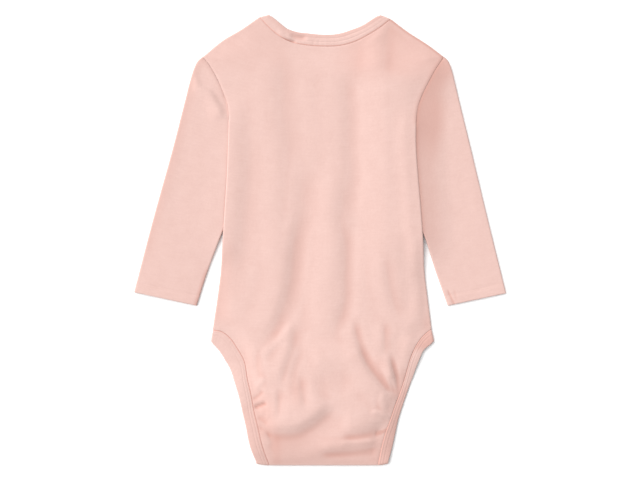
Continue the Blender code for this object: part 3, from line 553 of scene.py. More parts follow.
# ---- Objects ---------------------------------------------------------------------
def shell(name, grid, flat_uv, thickness, closed_down=False, closed_across=False, flip=False, marks=None):
    """Cloth from a grid of points of its outer surface; its wall goes inward."""
    rows, cols = grid.shape[:2]
    index = np.arange(rows * cols).reshape(rows, cols)
    down = np.roll(index, -1, axis=0) if closed_down else index[1:]
    top = index if closed_down else index[:-1]
    if closed_across:
        corners = [top, down, np.roll(down, -1, axis=1), np.roll(top, -1, axis=1)]
    else:
        corners = [top[:, :-1], down[:, :-1], down[:, 1:], top[:, 1:]]
    if flip:
        corners = corners[::-1]
    faces = np.stack([c.ravel() for c in corners], axis=1)
    mesh = bpy.data.meshes.new(name)
    mesh.from_pydata((grid.reshape(-1, 3) * MM).tolist(), [], faces.tolist())
    layer = mesh.uv_layers.new(name="cloth")
    spots = np.zeros(len(mesh.loops), dtype=np.int32)
    mesh.loops.foreach_get("vertex_index", spots)
    layer.data.foreach_set("uv", (flat_uv.reshape(-1, 2)[spots] * 0.01).ravel())
    for mark, values in (marks or {}).items():
        attribute = mesh.attributes.new(mark, "FLOAT", "POINT")
        attribute.data.foreach_set("value", values.ravel().astype(np.float32))
    mesh.shade_smooth()
    made = bpy.data.objects.new(name, mesh)
    bpy.context.scene.collection.objects.link(made)
    wall = made.modifiers.new("wall", "SOLIDIFY")
    wall.thickness = thickness * MM
    wall.offset = -1.0
    wall.use_quality_normals = True
    return made


def arm_height_left(share, y):
    return higher(0.7 * cap_rise(share), sleeve_lift(y, UNDER_LEFT))


def arm_height_right(share, y):
    """The body lies higher at the right armhole, and the sleeve falls away from it."""
    bump = 2.2 * smooth(share / 0.28) * smooth((1.0 - share) / 0.35)
    return cap_rise(share) * (1.0 - share) ** 0.5 + higher(bump, sleeve_lift(y, UNDER_RIGHT))


# ---- Back ------------------------------------------------------------------------
ROUND = 1.15  # radius at which a panel turns over the outline


def panel_edges(corner_left, corner_right, leg_left, leg_right, level, arm_rise, counts, leg_shares):
    """Both side edges of a panel from the neck, row by row, and what each row's edge is."""
    shoulder, arm, side = counts
    first = np.array([0.0, 0.003, 0.008, 0.018, 0.034])
    slope = np.concatenate([first, np.linspace(0.055, 1.0, shoulder)])
    arm_shares = np.linspace(0, 1, arm + 1)[1:]
    side_shares = np.linspace(0, 1, side + 1)[1:]
    edges = []
    for corner, shoulders, armhole, sides, leg, shares in (
        (corner_left, SHOULDER_LEFT, ARMHOLE_LEFT, SIDE_LEFT, leg_left, leg_shares[0]),
        (corner_right, SHOULDER_RIGHT, ARMHOLE_RIGHT, SIDE_RIGHT, leg_right, leg_shares[1]),
    ):
        a = along(shoulders, slope)
        a = np.column_stack([a, np.full(len(a), level)])
        a[0] = corner
        b = along(armhole, arm_shares)
        b = np.column_stack([b, level + arm_rise * cap_rise(arm_shares)])
        c = along(sides, side_shares)
        c = np.column_stack([c, np.full(len(c), level)])
        edges.append(np.concatenate([a, b, c, seam_line(leg, shares[1:])]))
    kinds = np.concatenate([
        np.full(len(slope), 0), np.full(arm, 1), np.full(side, 2), np.full(len(leg_shares[0]) - 1, 3),
    ])
    return edges[0], edges[1], kinds


def right_plateau(x, y):
    """The right side of the body lies higher, from under the shoulder to the hip."""
    high = smooth((x - 26.0) / 38.0) * smooth((186.0 - y) / 36.0) * smooth((y + 80.0) / 90.0)
    return PLATEAU * high


def seat_fall(to_right, y):
    """The seat is full on the left, and falls away to the right leg."""
    slope = 1.0 - (1.0 - np.clip(to_right / 112.0, 0.0, 1.0)) ** 2
    return 2.5 * slope * smooth((-60.0 - y) / 80.0) * rounded(y)


def leg_rise(side, y):
    """The legs' edges lie higher than their solids: the left one all the way down, the
    right one below the hip."""
    if side < 0:
        return 2.5 * smooth((-94.0 - y) / 52.0) * rounded(y)
    return 1.3 * below_right_hip(y)


def below_right_hip(y):
    return smooth((-82.0 - y) / 20.0) * smooth((y + 136.0) / 24.0)


def rounded(y):
    """0 at the crotch fold, steepest there, and 1 a little above it."""
    return 1.0 - np.clip(1.0 - (y - FOLD_Y) / 27.0, 0.0, 1.0) ** 2


def lying_lower(edge):
    """The leg seams above the flap lie lower than their solids."""
    spare = np.clip(edge[:, 2] - UPPER, 0.0, None)
    edge[:, 2] -= 0.5 * spare * smooth((edge[:, 1] + 172.0) / 22.0)
    return edge


def hollows(grid, folds, rounds):
    """Where folds lie lower than their surroundings, 0 to 1: narrow creases and pits."""
    return np.clip((evened(grid, folds, rounds) - folds) / 0.45, 0.0, 1.0)


def leg_steps(count):
    """Shares along a leg seam: its first, nearly level part has fewer rows."""
    first = np.array([0.0, 0.022, 0.043, 0.062, 0.079, 0.095, 0.109])
    return np.concatenate([first, np.linspace(0.122, 1.0, count)])


def softened(values, reach=4):
    kernel = np.hanning(2 * reach + 3)[1:-1]
    padded = np.pad(values.astype(float), reach, mode="edge")
    return np.convolve(padded, kernel / kernel.sum(), mode="valid")


def flap_height(x, y):
    climb = smooth((y + 204.0) / 9.0)
    return FLAP_GROUND + (FLAP_LEVEL - FLAP_GROUND) * climb + FLAP_LIFT * snap_row(x, y)


def layer_below(x, y, both):
    """Top of the cloth under the back: the front, the flap and the studs."""
    front = LOWER + WALL / 2 + over_sleeves(y, both)
    front += TAB_LIFT * snap_row(x, y)
    opening = smooth((y - 138.0) / 24.0) * (1.0 - smooth((np.abs(x - 4.0) - 24.0) / 30.0))
    under = front - 1.0 * opening
    flap = (flap_height(x, y) + WALL / 2) * smooth((-163.0 - y) / 3.0)
    under = np.maximum(under, flap)
    for stud in SNAP_X:
        off = np.hypot(x - stud, y - SNAP_Y)
        under = np.maximum(under, 5.82 * (1.0 - smooth((off - SNAP_RADIUS - 0.6) / 5.0)))
    return under


def sides_of(grid, kinds, depths):
    """For both side edges: how far the cloth falls there, the soft distance, and the
    rows and shares that go with it."""
    turned = softened(((kinds == 0) | (kinds >= 2)).astype(float))
    turned = np.where(kinds == 3, 0.0, turned)
    rows = np.arange(len(kinds))
    hip = int(np.argmax(kinds == 3)) - 1
    turned[hip - 2:hip + 1] *= (0.85, 0.55, 0.2)
    found = []
    for side in ("left", "right"):
        edge = grid[:, 0, :2] if side == "left" else grid[:, -1, :2]
        distance, row = border(edge, grid[..., 0], grid[..., 1])
        arm, leg = depths[side]
        depth = softened(np.where(kinds == 1, arm, np.where(kinds == 3, leg, 0.0)))
        fall = np.interp(row, rows, turned) * round_edge(distance, ROUND)
        fall += seam_dip(distance, np.interp(row, rows, depth), 2.2)
        found.append((fall, soft_border(edge, hip, grid[..., 0], grid[..., 1])))
    return found


def settled(grid, field, edges, top_z, reach=16.0):
    """Lets a height field meet the seams' own heights, near them only."""
    rows = np.arange(len(grid))
    height = field.copy()
    for (_, (distance, share, above, below)), column in zip(edges, (0, -1)):
        gap = softened(grid[:, column, 2] - field[:, column], 3)
        gap = share * np.interp(above, rows, gap) + (1.0 - share) * np.interp(below, rows, gap)
        height += gap * (1.0 - smooth(distance / reach))
    if top_z is not None:
        gap = top_z - height[0]
        from_top = edge_distance(grid, "top")
        height += gap[None] * (1.0 - smooth(from_top / reach))
    return height


def back_surface():
    across = near_ends(116, FINE, 0.022)
    legs = leg_steps(82)
    top = seam_line(NECK_BACK, across)
    left, right, kinds = panel_edges(
        top[0], top[-1], LEG_BACK_LEFT, LEG_BACK_RIGHT, UPPER, 0.0, (44, 46, 118), (legs, legs),
    )
    arms = np.flatnonzero(kinds == 1)
    for edge, rise in ((left, arm_height_left), (right, arm_height_right)):
        edge[kinds == 3] = lying_lower(edge[kinds == 3])
        edge[arms, 2] += rise(np.linspace(0, 1, len(arms) + 1)[1:], edge[arms, 1])
        under = UNDER_LEFT if edge is left else UNDER_RIGHT
        edge[:, 2] += np.where(kinds == 2, sleeve_lift(edge[:, 1], under), 0.0)
        edge[:, 2] += np.where(kinds == 3, back_lift(edge[:, 0], edge[:, 1]), 0.0)
        edge[:, 2] += np.where(kinds == 3, leg_rise(-1 if edge is left else 1, edge[:, 1]), 0.0)
    bottom = left[-1] + across[:, None] * (right[-1] - left[-1])
    grid = plan_between(top, bottom, left, right)
    grid[:, 0, 2], grid[:, -1, 2] = left[:, 2], right[:, 2]
    x, y = grid[..., 0], grid[..., 1]
    edges = sides_of(grid, kinds, {"left": (0.40, 0.28), "right": (0.38, 0.28)})
    both = (edges[0][1][0], edges[1][1][0])
    inward = np.minimum(*both)
    from_top = np.linalg.norm(grid[:, :, :2] - grid[:1, :, :2], axis=2)
    held_up = np.minimum(both[0] + 18.0 * smooth((-94.0 - y) / 52.0), both[1] + 13.0 * below_right_hip(y))
    beside = 1.0 - (1.0 - np.minimum(held_up / 30.0, 1.0)) ** 2
    field = smooth_levels(y, SEAT)
    field += BODY_RISE * beside * smooth(from_top / 30.0) * rounded(y)
    lifts = over_sleeves(y, both)
    field += higher(lifts, right_plateau(x, y), 1.6) + back_lift(x, y) + seat_fall(both[1], y)
    folds = waves(x, y, BACK_WAVES) * smooth(inward / 9.0)
    folds += ridges(x, y, BACK_RIDGES) * smooth(inward / 2.5)
    folds *= smooth(from_top / 8.0) * smooth((y - FOLD_Y) / 9.0)
    height = settled(grid, field, edges, top[:, 2]) + folds + WALL / 2
    height += waves(x, y, BACK_SWELLS) * smooth(inward / 9.0)
    least = layer_below(x, y, both) + WALL + 0.12
    over = height - least
    height = least + 0.5 * (over + np.sqrt(over * over + 0.02))
    # Seams: hardly any dip on the left of the neck, a plain one on the right.
    neck_dip = 0.08 + 0.20 * smooth((top[:, 0] + 26.0) / 22.0)
    fall = np.maximum(edges[0][0], edges[1][0])
    fall = np.maximum(fall, seam_dip(edge_distance(grid, "top"), neck_dip[None], 2.0))
    grid[..., 2] = height - fall
    # Painted shade in the hollows of the folds.
    painted_shade = 0.8 * hollows(grid, folds, 12)
    # The right shoulder's seam shows as a line beside its edge: a shallow dip, with painted shade in it.
    shoulder, _ = border(grid[kinds == 0][:, -1, :2], x, y)
    at_seam = np.exp(-(((shoulder - 1.2) / 0.7) ** 2))
    grid[..., 2] -= 0.22 * at_seam
    painted_shade += 0.8 * at_seam
    # The turn under, and the flap.
    first = FLAP[0]
    rows = []
    top_z, low_z = grid[-1, :, 2], np.full(len(across), FLAP_GROUND - WALL / 2)
    xs = first.seam_left + across * (first.seam_right - first.seam_left)
    for step in range(1, 11):
        turn = math.pi * step / 10
        radius = (top_z - low_z) / 2
        rows.append(np.column_stack([
            xs, first.y - radius * math.sin(turn), (top_z + low_z) / 2 + radius * math.cos(turn),
        ]))
    flap = along([(f.y, 0.0, f.seam_left, f.seam_right) for f in FLAP], np.linspace(0, 1, 23))
    for y_flap, _, x_left, x_right in flap[1:]:
        xs = x_left + across * (x_right - x_left)
        ys = np.full(len(xs), y_flap)
        rows.append(np.column_stack([xs, ys, flap_height(xs, ys) - WALL / 2]))
    under = np.array(rows)
    full = np.concatenate([grid, under])
    run = np.concatenate([[0.0], np.cumsum(np.linalg.norm(np.diff(full[:, len(across) // 2], axis=0), axis=1))])
    flat = np.stack([full[..., 0], np.broadcast_to(-run[:, None], full.shape[:2])], axis=2)
    # Painted shade, where the cloth should lie in a little less light: the seat's end, the shoulders, the left edge,
    # beside both leg bindings, the right hip, the right armhole's seam and a few spots on the seat.
    painted_shade += (0.28 + 0.14 * smooth((x - 42.0) / 10.0)) * smooth((-166.0 - y) / 34.0)
    painted_shade += 0.32 * smooth((x - 8.0) / 30.0) * smooth((y - 140.0) / 28.0)
    painted_shade += 0.3 * np.exp(-(((x + 40.0) / 4.5) ** 2)) * smooth((-178.0 - y) / 10.0)
    painted_shade += 0.42 * (1.0 - smooth((both[0] - 7.0) / 18.0)) * smooth((-136.0 - y) / 16.0) * smooth((y + 190.0) / 14.0)
    painted_shade += 0.45 * (1.0 - smooth((both[1] - 2.0) / 8.0)) * smooth((-116.0 - y) / 12.0) * smooth((y + 154.0) / 14.0)
    painted_shade += 0.40 * np.exp(-(((x + 22.0) / 7.0) ** 2) - ((y + 139.0) / 11.0) ** 2)
    painted_shade += 0.25 * np.exp(-(((x - 54.0) / 7.0) ** 2) - ((y + 115.0) / 5.0) ** 2)
    painted_shade += 0.30 * np.exp(-(((x - 100.0) / 5.0) ** 2) - ((y + 78.0) / 9.0) ** 2)
    painted_shade += 0.22 * (1.0 - smooth((both[0] - 2.0) / 9.0)) * smooth((-98.0 - y) / 10.0) * smooth((y + 146.0) / 10.0)
    armhole_right, _ = border(grid[kinds == 1][:, -1, :2], x, y)
    painted_shade += 0.45 * np.exp(-((armhole_right / 2.6) ** 2))
    painted_shade += 0.14 * smooth((-22.0 - x) / 14.0) * smooth((y - 150.0) / 24.0)
    painted_shade += 0.32 * (1.0 - smooth((both[0] - 4.0) / 14.0)) * smooth((6.0 - y) / 24.0) * smooth((y + 84.0) / 16.0)
    painted_shade = np.concatenate([np.clip(painted_shade, 0.0, 1.0), np.zeros(under.shape[:2])])
    return full, flat, painted_shade


# The back gets its painted shade as a mark for its finish.
back_grid, back_flat, back_painted_shade = back_surface()
back = shell("back_cloth", back_grid, back_flat, WALL, marks={"painted_shade": back_painted_shade})


# ---- Front -----------------------------------------------------------------------
def front_surface():
    across = near_ends(86, FINE, 0.024)
    legs = np.linspace(0, 1, 71)
    top = seam_line(NECK_FRONT[::-1], across)
    left, right, kinds = panel_edges(
        top[0], top[-1], LEG_FRONT_LEFT, LEG_FRONT_RIGHT, LOWER, 0.0, (34, 36, 100), (legs, legs),
    )
    bottom = left[-1] + across[:, None] * (right[-1] - left[-1])
    grid = plan_between(top, bottom, left, right)
    x, y = grid[..., 0], grid[..., 1]
    edges = sides_of(grid, kinds, {"left": (0.35, 0.30), "right": (0.35, 0.30)})
    both = (edges[0][1][0], edges[1][1][0])
    inward = np.minimum(*both)
    height = over_sleeves(y, both)
    height += TAB_LIFT * snap_row(x, y)
    height += ridges(x, y, FRONT_RIDGES) * smooth(inward / 14.0) * (1.0 - snap_row(x, y))
    fall = np.maximum(edges[0][0], edges[1][0])
    fall = np.maximum(fall, seam_dip(edge_distance(grid, "top"), 0.35, 2.0))
    grid[..., 2] = height + fall
    return grid, grid[..., :2].copy()


front_grid, front_flat = front_surface()
front = shell("front_cloth", front_grid, front_flat, 0.95 * WALL, flip=True)


# ---- Sleeves ---------------------------------------------------------------------
HEM = 9.2  # depth of the cuff's turned hem


def resampled(grid, rows, cols):
    """The grid read at shares of its rows and columns."""
    r = np.asarray(rows) * (grid.shape[0] - 1)
    c = np.asarray(cols) * (grid.shape[1] - 1)
    r0 = np.minimum(r.astype(int), grid.shape[0] - 2)
    c0 = np.minimum(c.astype(int), grid.shape[1] - 2)
    fr, fc = (r - r0)[:, None, None], (c - c0)[None, :, None]
    g = lambda i, j: grid[np.ix_(r0 + i, c0 + j)]
    return (1 - fr) * ((1 - fc) * g(0, 0) + fc * g(0, 1)) + fr * ((1 - fc) * g(1, 0) + fc * g(1, 1))


def sleeve_plan(armhole, outer, inner, out_sign, rows=161, cols=61):
    v, w = np.linspace(0, 1, rows), np.linspace(0, 1, cols)
    cap = along(armhole, w)
    run = np.gradient(cap, axis=0)
    run /= np.linalg.norm(run, axis=1)[:, None]
    cap = cap + out_sign * 0.14 * np.column_stack([-run[:, 1], run[:, 0]])
    near, far = along(outer, v), along(inner, v)
    cap[0], cap[-1] = near[0], far[0]
    bow = cap - (cap[:1] + w[:, None] * (cap[-1:] - cap[:1]))
    plan = near[:, None] + w[None, :, None] * (far - near)[:, None] + ((1 - v) ** 4)[:, None, None] * bow[None]
    plan = relaxed(plan, 500)
    # Beside the tucked end of the armhole the rows would cross it: they move out.
    signed, share, beyond = nearest_on(armhole, plan[..., 0], plan[..., 1], 160)
    ahead, behind = (along(armhole, np.clip(share + d, 0, 1).ravel()) for d in (0.004, -0.004))
    run = (ahead - behind).reshape(plan.shape)
    run /= np.linalg.norm(run, axis=2)[..., None]
    need = 0.14 + 0.35 * np.arange(rows)[:, None]
    short = np.clip(need - out_sign * signed, 0.0, None) * np.exp(-((beyond / 2.0) ** 2))
    short[0] = short[:, 0] = short[:, -1] = 0.0
    short *= smooth((20.0 - np.arange(rows)[:, None]) / 12.0)
    plan += out_sign * short[..., None] * np.stack([-run[..., 1], run[..., 0]], axis=2)
    return plan


def body_beside(x, y, out_sign):
    """For points of a sleeve: distance outside the body's edge, and that edge's place."""
    edge = (ARMHOLE_LEFT + SIDE_LEFT[1:]) if out_sign < 0 else (ARMHOLE_RIGHT + SIDE_RIGHT[1:])
    signed, share, beyond = nearest_on(edge, x, y, 160)
    spots = along(edge, np.linspace(0, 1, 160))
    edge_y = np.interp(share, np.linspace(0, 1, 160), spots[:, 1])
    return out_sign * signed, edge_y


def sleeve_surface(armhole, tuck, outer, inner, out_sign, table, seam_depth, arm_height,
                   reach, beside_rise, full_rise, under, lines=()):
    rows = near_ends(128, FINE, 0.014)
    cols = near_ends(54, FINE, 0.05)
    plan = resampled(sleeve_plan(armhole + tuck, outer, inner, out_sign), rows, cols)
    x, y = plan[..., 0], plan[..., 1]
    w, v = np.broadcast_to(cols[None], x.shape), np.broadcast_to(rows[:, None], x.shape)
    # The sleeve lies against the body's edge, as high as that lets it, and falls from there.
    clear, edge_y = body_beside(x, y, out_sign)
    arm_y = np.array([p.y for p in armhole])
    arm_share = np.concatenate([[0.0], np.cumsum(np.linalg.norm(np.diff(np.array(armhole), axis=0), axis=1))])
    share = np.interp(-edge_y, -arm_y, arm_share / arm_share[-1])
    sewn = smooth((edge_y - arm_y[-1] + 14.0) / 14.0)
    lifted = sleeve_lift(edge_y, under)
    at_edge = sewn * arm_height(share, edge_y) + (1.0 - sewn) * beside_rise * lifted
    reached = sewn * reach[0] + (1.0 - sewn) * reach[1]
    falling = np.clip(1.0 - np.abs(clear) / reached, 0.0, 1.0) ** 1.5
    bulge = (1.0 - v) * (1.0 - (2 * w - 1) ** 2) + v * (1.0 - (2 * w - 1) ** 4)
    rise = full_rise * bulge * (1.0 - 0.25 * v) * (1.0 - falling) + falling * at_edge
    rise += waves(x, y, table) * smooth(np.minimum(w, 1 - w) / 0.12)
    creases = ridges(x, y, lines)
    raised = lifted * sewn * np.exp(-((np.clip(clear, 0.0, None) / 9.0) ** 2))
    rise = higher(rise, 0.05, 0.4)
    high, low = UPPER + WALL / 2 + rise, np.clip(np.minimum(raised, rise + 0.2), 0.0, None)
    # Under the body it stays below the body's cloth.
    hidden = smooth((-0.2 - clear) / 1.4)
    room = lifted - 0.15
    high = high - hidden * np.maximum(high - room, 0.0)
    low = low - hidden * np.maximum(low - np.maximum(room - 2.1, 0.0), 0.0)
    turn = np.minimum(edge_distance(plan, "left"), edge_distance(plan, "right"))
    fold = round_edge(turn, ROUND)
    # The hem is a second layer inside, held by one row of stitches.
    a, b = plan[-1, 0], plan[-1, -1]
    run = (b - a) / np.linalg.norm(b - a)
    from_cuff = np.abs((x - a[0]) * -run[1] + (y - a[1]) * run[0])
    hem = 0.10 * (1.0 - smooth((from_cuff - HEM + 0.5) / 1.0))
    groove = 0.26 * np.exp(-(((from_cuff - HEM) / 0.7) ** 2))
    cuff_edge = round_edge(from_cuff, 0.8)
    from_seam, _ = border(plan[0], x, y)
    seam = seam_dip(from_seam, seam_depth, 2.6)
    level = smooth(turn / 3.0)
    upper = high + creases + (hem - groove) * level - fold - seam * level - 0.6 * cuff_edge * level
    lower = low + fold + 0.5 * groove * level + 0.4 * cuff_edge * level
    top = np.stack([x, y, upper], axis=2)
    bottom = np.stack([x, y, lower], axis=2)
    middle = (top[:, (0, -1)] + bottom[:, (0, -1)]) / 2
    top[:, 0], top[:, -1] = middle[:, 0], middle[:, 1]
    ring = np.concatenate([top, bottom[:, -2:0:-1]], axis=1)
    width = w * np.linalg.norm(plan[:, -1] - plan[:, 0], axis=1)[:, None]
    flat = np.concatenate([
        np.stack([width, from_cuff], axis=2), np.stack([width, from_cuff], axis=2)[:, -2:0:-1],
    ], axis=1)
    # Painted shade, where the cloth should lie in a little less light: the body's shadow beside it, at its seam,
    # along both outlines, and in the cuff seam's creases.
    sewn_part = smooth((edge_y + 28.0) / 40.0) * smooth((180.0 - y) / 18.0)
    up = smooth((y - 60.0) / 50.0)
    shaded = 8.0 + up * (9.0 - 10.0 * smooth((y - 116.0) / 26.0))
    fields = (
        (1.0 - smooth((clear - shaded) / 16.0)) * sewn_part * (0.45 + 0.55 * up),
        np.exp(-((clear / 2.6) ** 2)) * sewn_part,
        (1.0 - smooth(edge_distance(plan, "left") / 12.0)) * smooth((y + 34.0) / 40.0),
        (1.0 - smooth((edge_distance(plan, "right") - 1.2) / 3.2)) * smooth((-20.0 - y) / 14.0),
        np.clip(-3.0 * creases, 0.0, 1.0),
    )
    return ring, flat, [np.concatenate([field, 0.0 * field[:, -2:0:-1]], axis=1) for field in fields]


left_ring, left_flat, (_, left_seam_shade, left_rim_shade, left_cuff_shade, _) = sleeve_surface(
    ARMHOLE_LEFT, TUCK_LEFT, SLEEVE_OUTER_LEFT, SLEEVE_INNER_LEFT, -1, SLEEVE_LEFT_WAVES, 0.45, arm_height_left,
    (26.0, 22.0), 0.62, 0.45 * SLEEVE_RISE, UNDER_LEFT)
# Painted shade on the left sleeve: its outer rim, its seam and the inner edge at the cuff.
left_shade = 0.3 * left_rim_shade + 0.2 * left_seam_shade + 0.65 * left_cuff_shade
sleeve_left = shell("sleeve_left_cloth", left_ring, left_flat, WALL, closed_across=True,
                    marks={"painted_shade": left_shade})
right_ring, right_flat, (right_beside_shade, right_seam_shade, _, _, right_crease_shade) = sleeve_surface(
    ARMHOLE_RIGHT, TUCK_RIGHT, SLEEVE_OUTER_RIGHT, SLEEVE_INNER_RIGHT, 1, SLEEVE_RIGHT_WAVES, 0.3, arm_height_right,
    (29.0, 30.0), 0.85, 0.35 * SLEEVE_RISE, UNDER_RIGHT, CUFF_SEAM)
# Painted shade on the right sleeve: the body's shadow beside it, its seam and the cuff seam's creases.
right_shade = np.clip(0.68 * right_beside_shade + 0.42 * right_seam_shade + 0.8 * right_crease_shade, 0.0, 1.0)
sleeve_right = shell("sleeve_right_cloth", right_ring, right_flat, WALL, closed_across=True, flip=True,
                     marks={"painted_shade": right_shade})


# ---- Bands -----------------------------------------------------------------------
BAND_WALL = 0.85
BAND_ACROSS = np.array([
    0.0, 0.012, 0.035, 0.07, 0.11, 0.15, 0.185, 0.215, 0.245, 0.28, 0.32, 0.355, 0.39, 0.42, 0.45,
    0.48, 0.52, 0.56, 0.60, 0.635, 0.67, 0.70, 0.74, 0.79, 0.84, 0.88, 0.915, 0.945, 0.97, 0.988, 1.0,
])


class Strip:
    """Stations of a band: its seam edge, its free edge and the way out of the cloth."""

    def __init__(self):
        self.seam, self.free, self.out, self.spot = [], [], [], []

    def add(self, seam, free, out, spot):
        for held, new in zip((self.seam, self.free, self.out, self.spot), (seam, free, out, spot)):
            held.append(np.asarray(new, float))

    def grid(self, profile):
        seam, free, out = np.array(self.seam), np.array(self.free), np.array(self.out)
        width = np.linalg.norm(free - seam, axis=1)[:, None]
        w = BAND_ACROSS[None]
        middle = (seam + free) / 2
        run = np.concatenate([[0.0], np.cumsum(np.linalg.norm(np.diff(middle, axis=0), axis=1))])[:, None]
        base = seam[:, None] + w[..., None] * (free - seam)[:, None]
        height = profile(w * width, width, np.array(self.spot)[:, None], base)
        # It bulges up and outward, but not down: there it lies flat.
        free_way = np.clip(1.0 + out[:, None, 2], 0.0, 1.0)
        height = np.minimum(height, 0.0) + np.maximum(height, 0.0) * free_way
        grid = base + out[:, None] * height[..., None]
        flat = np.stack(np.broadcast_arrays(w * width, run), axis=2)
        return grid, flat


def band_stations(rows, shares, gap, raise_by):
    """Seam points a little off the panel's edge, and free points."""
    seam, free = seam_line(rows, shares), free_line(rows, shares)
    run = np.gradient(seam[:, :2], axis=0)
    run /= np.linalg.norm(run, axis=1)[:, None]
    across = np.column_stack([-run[:, 1], run[:, 0]])
    across *= np.sign((across * (free - seam)[:, :2]).sum(axis=1))[:, None]
    seam[:, :2] += gap * across
    seam[:, 2] += raise_by
    free[:, 2] += raise_by
    return seam, free


def turn_stations(strip, upper, lower, out, steps, spot):
    """A half turn over the outline, from the upper to the lower layer."""
    for step in range(1, steps):
        turn = math.pi * step / steps
        place = []
        for high, low in zip(upper, lower):
            radius = (high[2] - low[2]) / 2
            plan = high[:2] + (low - high)[:2] * step / steps + out * radius * math.sin(turn)
            place.append([*plan, (high[2] + low[2]) / 2 + radius * math.cos(turn)])
        way = [*(out * math.sin(turn)), math.cos(turn)]
        strip.add(place[0], place[1], way, spot)


def pulled_in(seam, free, last, inside, out, amount):
    """Moves the last station in, so that the turn stays inside the outline."""
    share = amount / float(np.dot((seam[last] - seam[inside])[:2], out))
    seam[last] = seam[last] + (seam[inside] - seam[last]) * min(share, 0.95)
    free[last, :2] -= out * amount


def way_out(seam, free, sign):
    line = (free - seam)[:2]
    return np.array([-line[1], line[0]]) / np.linalg.norm(line) * sign


BAND_GAP = 0.08
TURN = 1.3


def coarse_ends(rows, count, gap, raise_by):
    """Stations along a band; the first and last steps are long enough to turn in."""
    length = length_of(seam_line(rows, np.linspace(0, 1, 80)))
    first = 3.2 / length
    shares = np.concatenate([[0.0], np.linspace(first, 1.0 - first, count), [1.0]])
    return band_stations(rows, shares, gap, raise_by)


def neck_strip():
    strip = Strip()
    seam, free = coarse_ends(NECK_BACK, 150, BAND_GAP, BAND / 2)
    low_seam, low_free = coarse_ends(NECK_FRONT, 170, BAND_GAP, -BAND / 2)
    for last, inside, low_last, low_inside, sign in ((0, 1, -1, -2, 1), (-1, -2, 0, 1, -1)):
        out = way_out(seam[last], free[last], sign)
        pulled_in(seam, free, last, inside, out, TURN)
        pulled_in(low_seam, low_free, low_last, low_inside, out, TURN)
    for s, f in zip(seam, free):
        strip.add(s, f, (0, 0, 1), s[0])
    out = way_out(seam[-1], free[-1], -1)
    turn_stations(strip, (seam[-1], free[-1]), (low_seam[0], low_free[0]), out, 12, seam[-1, 0])
    for s, f in zip(low_seam, low_free):
        strip.add(s, f, (0, 0, -1), 400.0)
    out = way_out(seam[0], free[0], 1)
    back_turn = Strip()
    turn_stations(back_turn, (seam[0], free[0]), (low_seam[-1], low_free[-1]), out, 12, seam[0, 0])
    for s, f, o, k in list(zip(back_turn.seam, back_turn.free, back_turn.out, back_turn.spot))[::-1]:
        strip.add(s, f, o, k)
    return strip


def neck_profile(distance, width, spot, base):
    """Dips at the seam, turns in at the free edge, and has two shallow lines between."""
    right = smooth((spot + 40.0) / 26.0)
    to_free = width - distance
    height = -seam_dip(distance, 0.10 + 0.28 * right, 1.8) - round_edge(to_free, 0.9)
    height = height + 0.22 * np.sin(math.pi * np.clip(distance / width, 0, 1))
    lines = 0.05 + 0.15 * smooth((spot + 22.0) / 10.0) * (1.0 - 0.6 * smooth((spot - 30.0) / 25.0))
    for share in (0.36, 0.67):
        height = height - lines * np.exp(-(((distance - share * width) / 0.5) ** 2))
    # The band's own ends meet in two fine lines, right of the pinch.
    for place in (-6.6, -1.6):
        height = height - 0.16 * np.exp(-(((spot - place) / 0.9) ** 2)) * (1.0 - smooth((distance - 5.0) / 2.0))
    upper = (base[..., 2] > 0.7) & (spot < 300.0)
    pinch = ridges(base[..., 0], base[..., 1], NECK_FOLDS)
    return height + np.where(upper, pinch, 0.0)


def neck_shade(strip, grid, flat):
    """Painted shade: deeper in the pinch, and along the free edge."""
    upper = np.array(strip.spot)[:, None] < 300.0
    share = flat[..., 0] / flat[:, -1:, 0]
    pinch = np.clip(-0.55 * ridges(grid[..., 0], grid[..., 1], NECK_FOLDS), 0.0, 1.0)
    return np.where(upper, np.clip(pinch + 0.34 * smooth((share - 0.45) / 0.5), 0.0, 1.0), 0.0)


neck = neck_strip()
neck_grid, neck_flat = neck.grid(neck_profile)
neckband = shell("neckband_cloth", neck_grid, neck_flat, BAND_WALL, closed_down=True,
                 marks={"painted_shade": neck_shade(neck, neck_grid, neck_flat)})


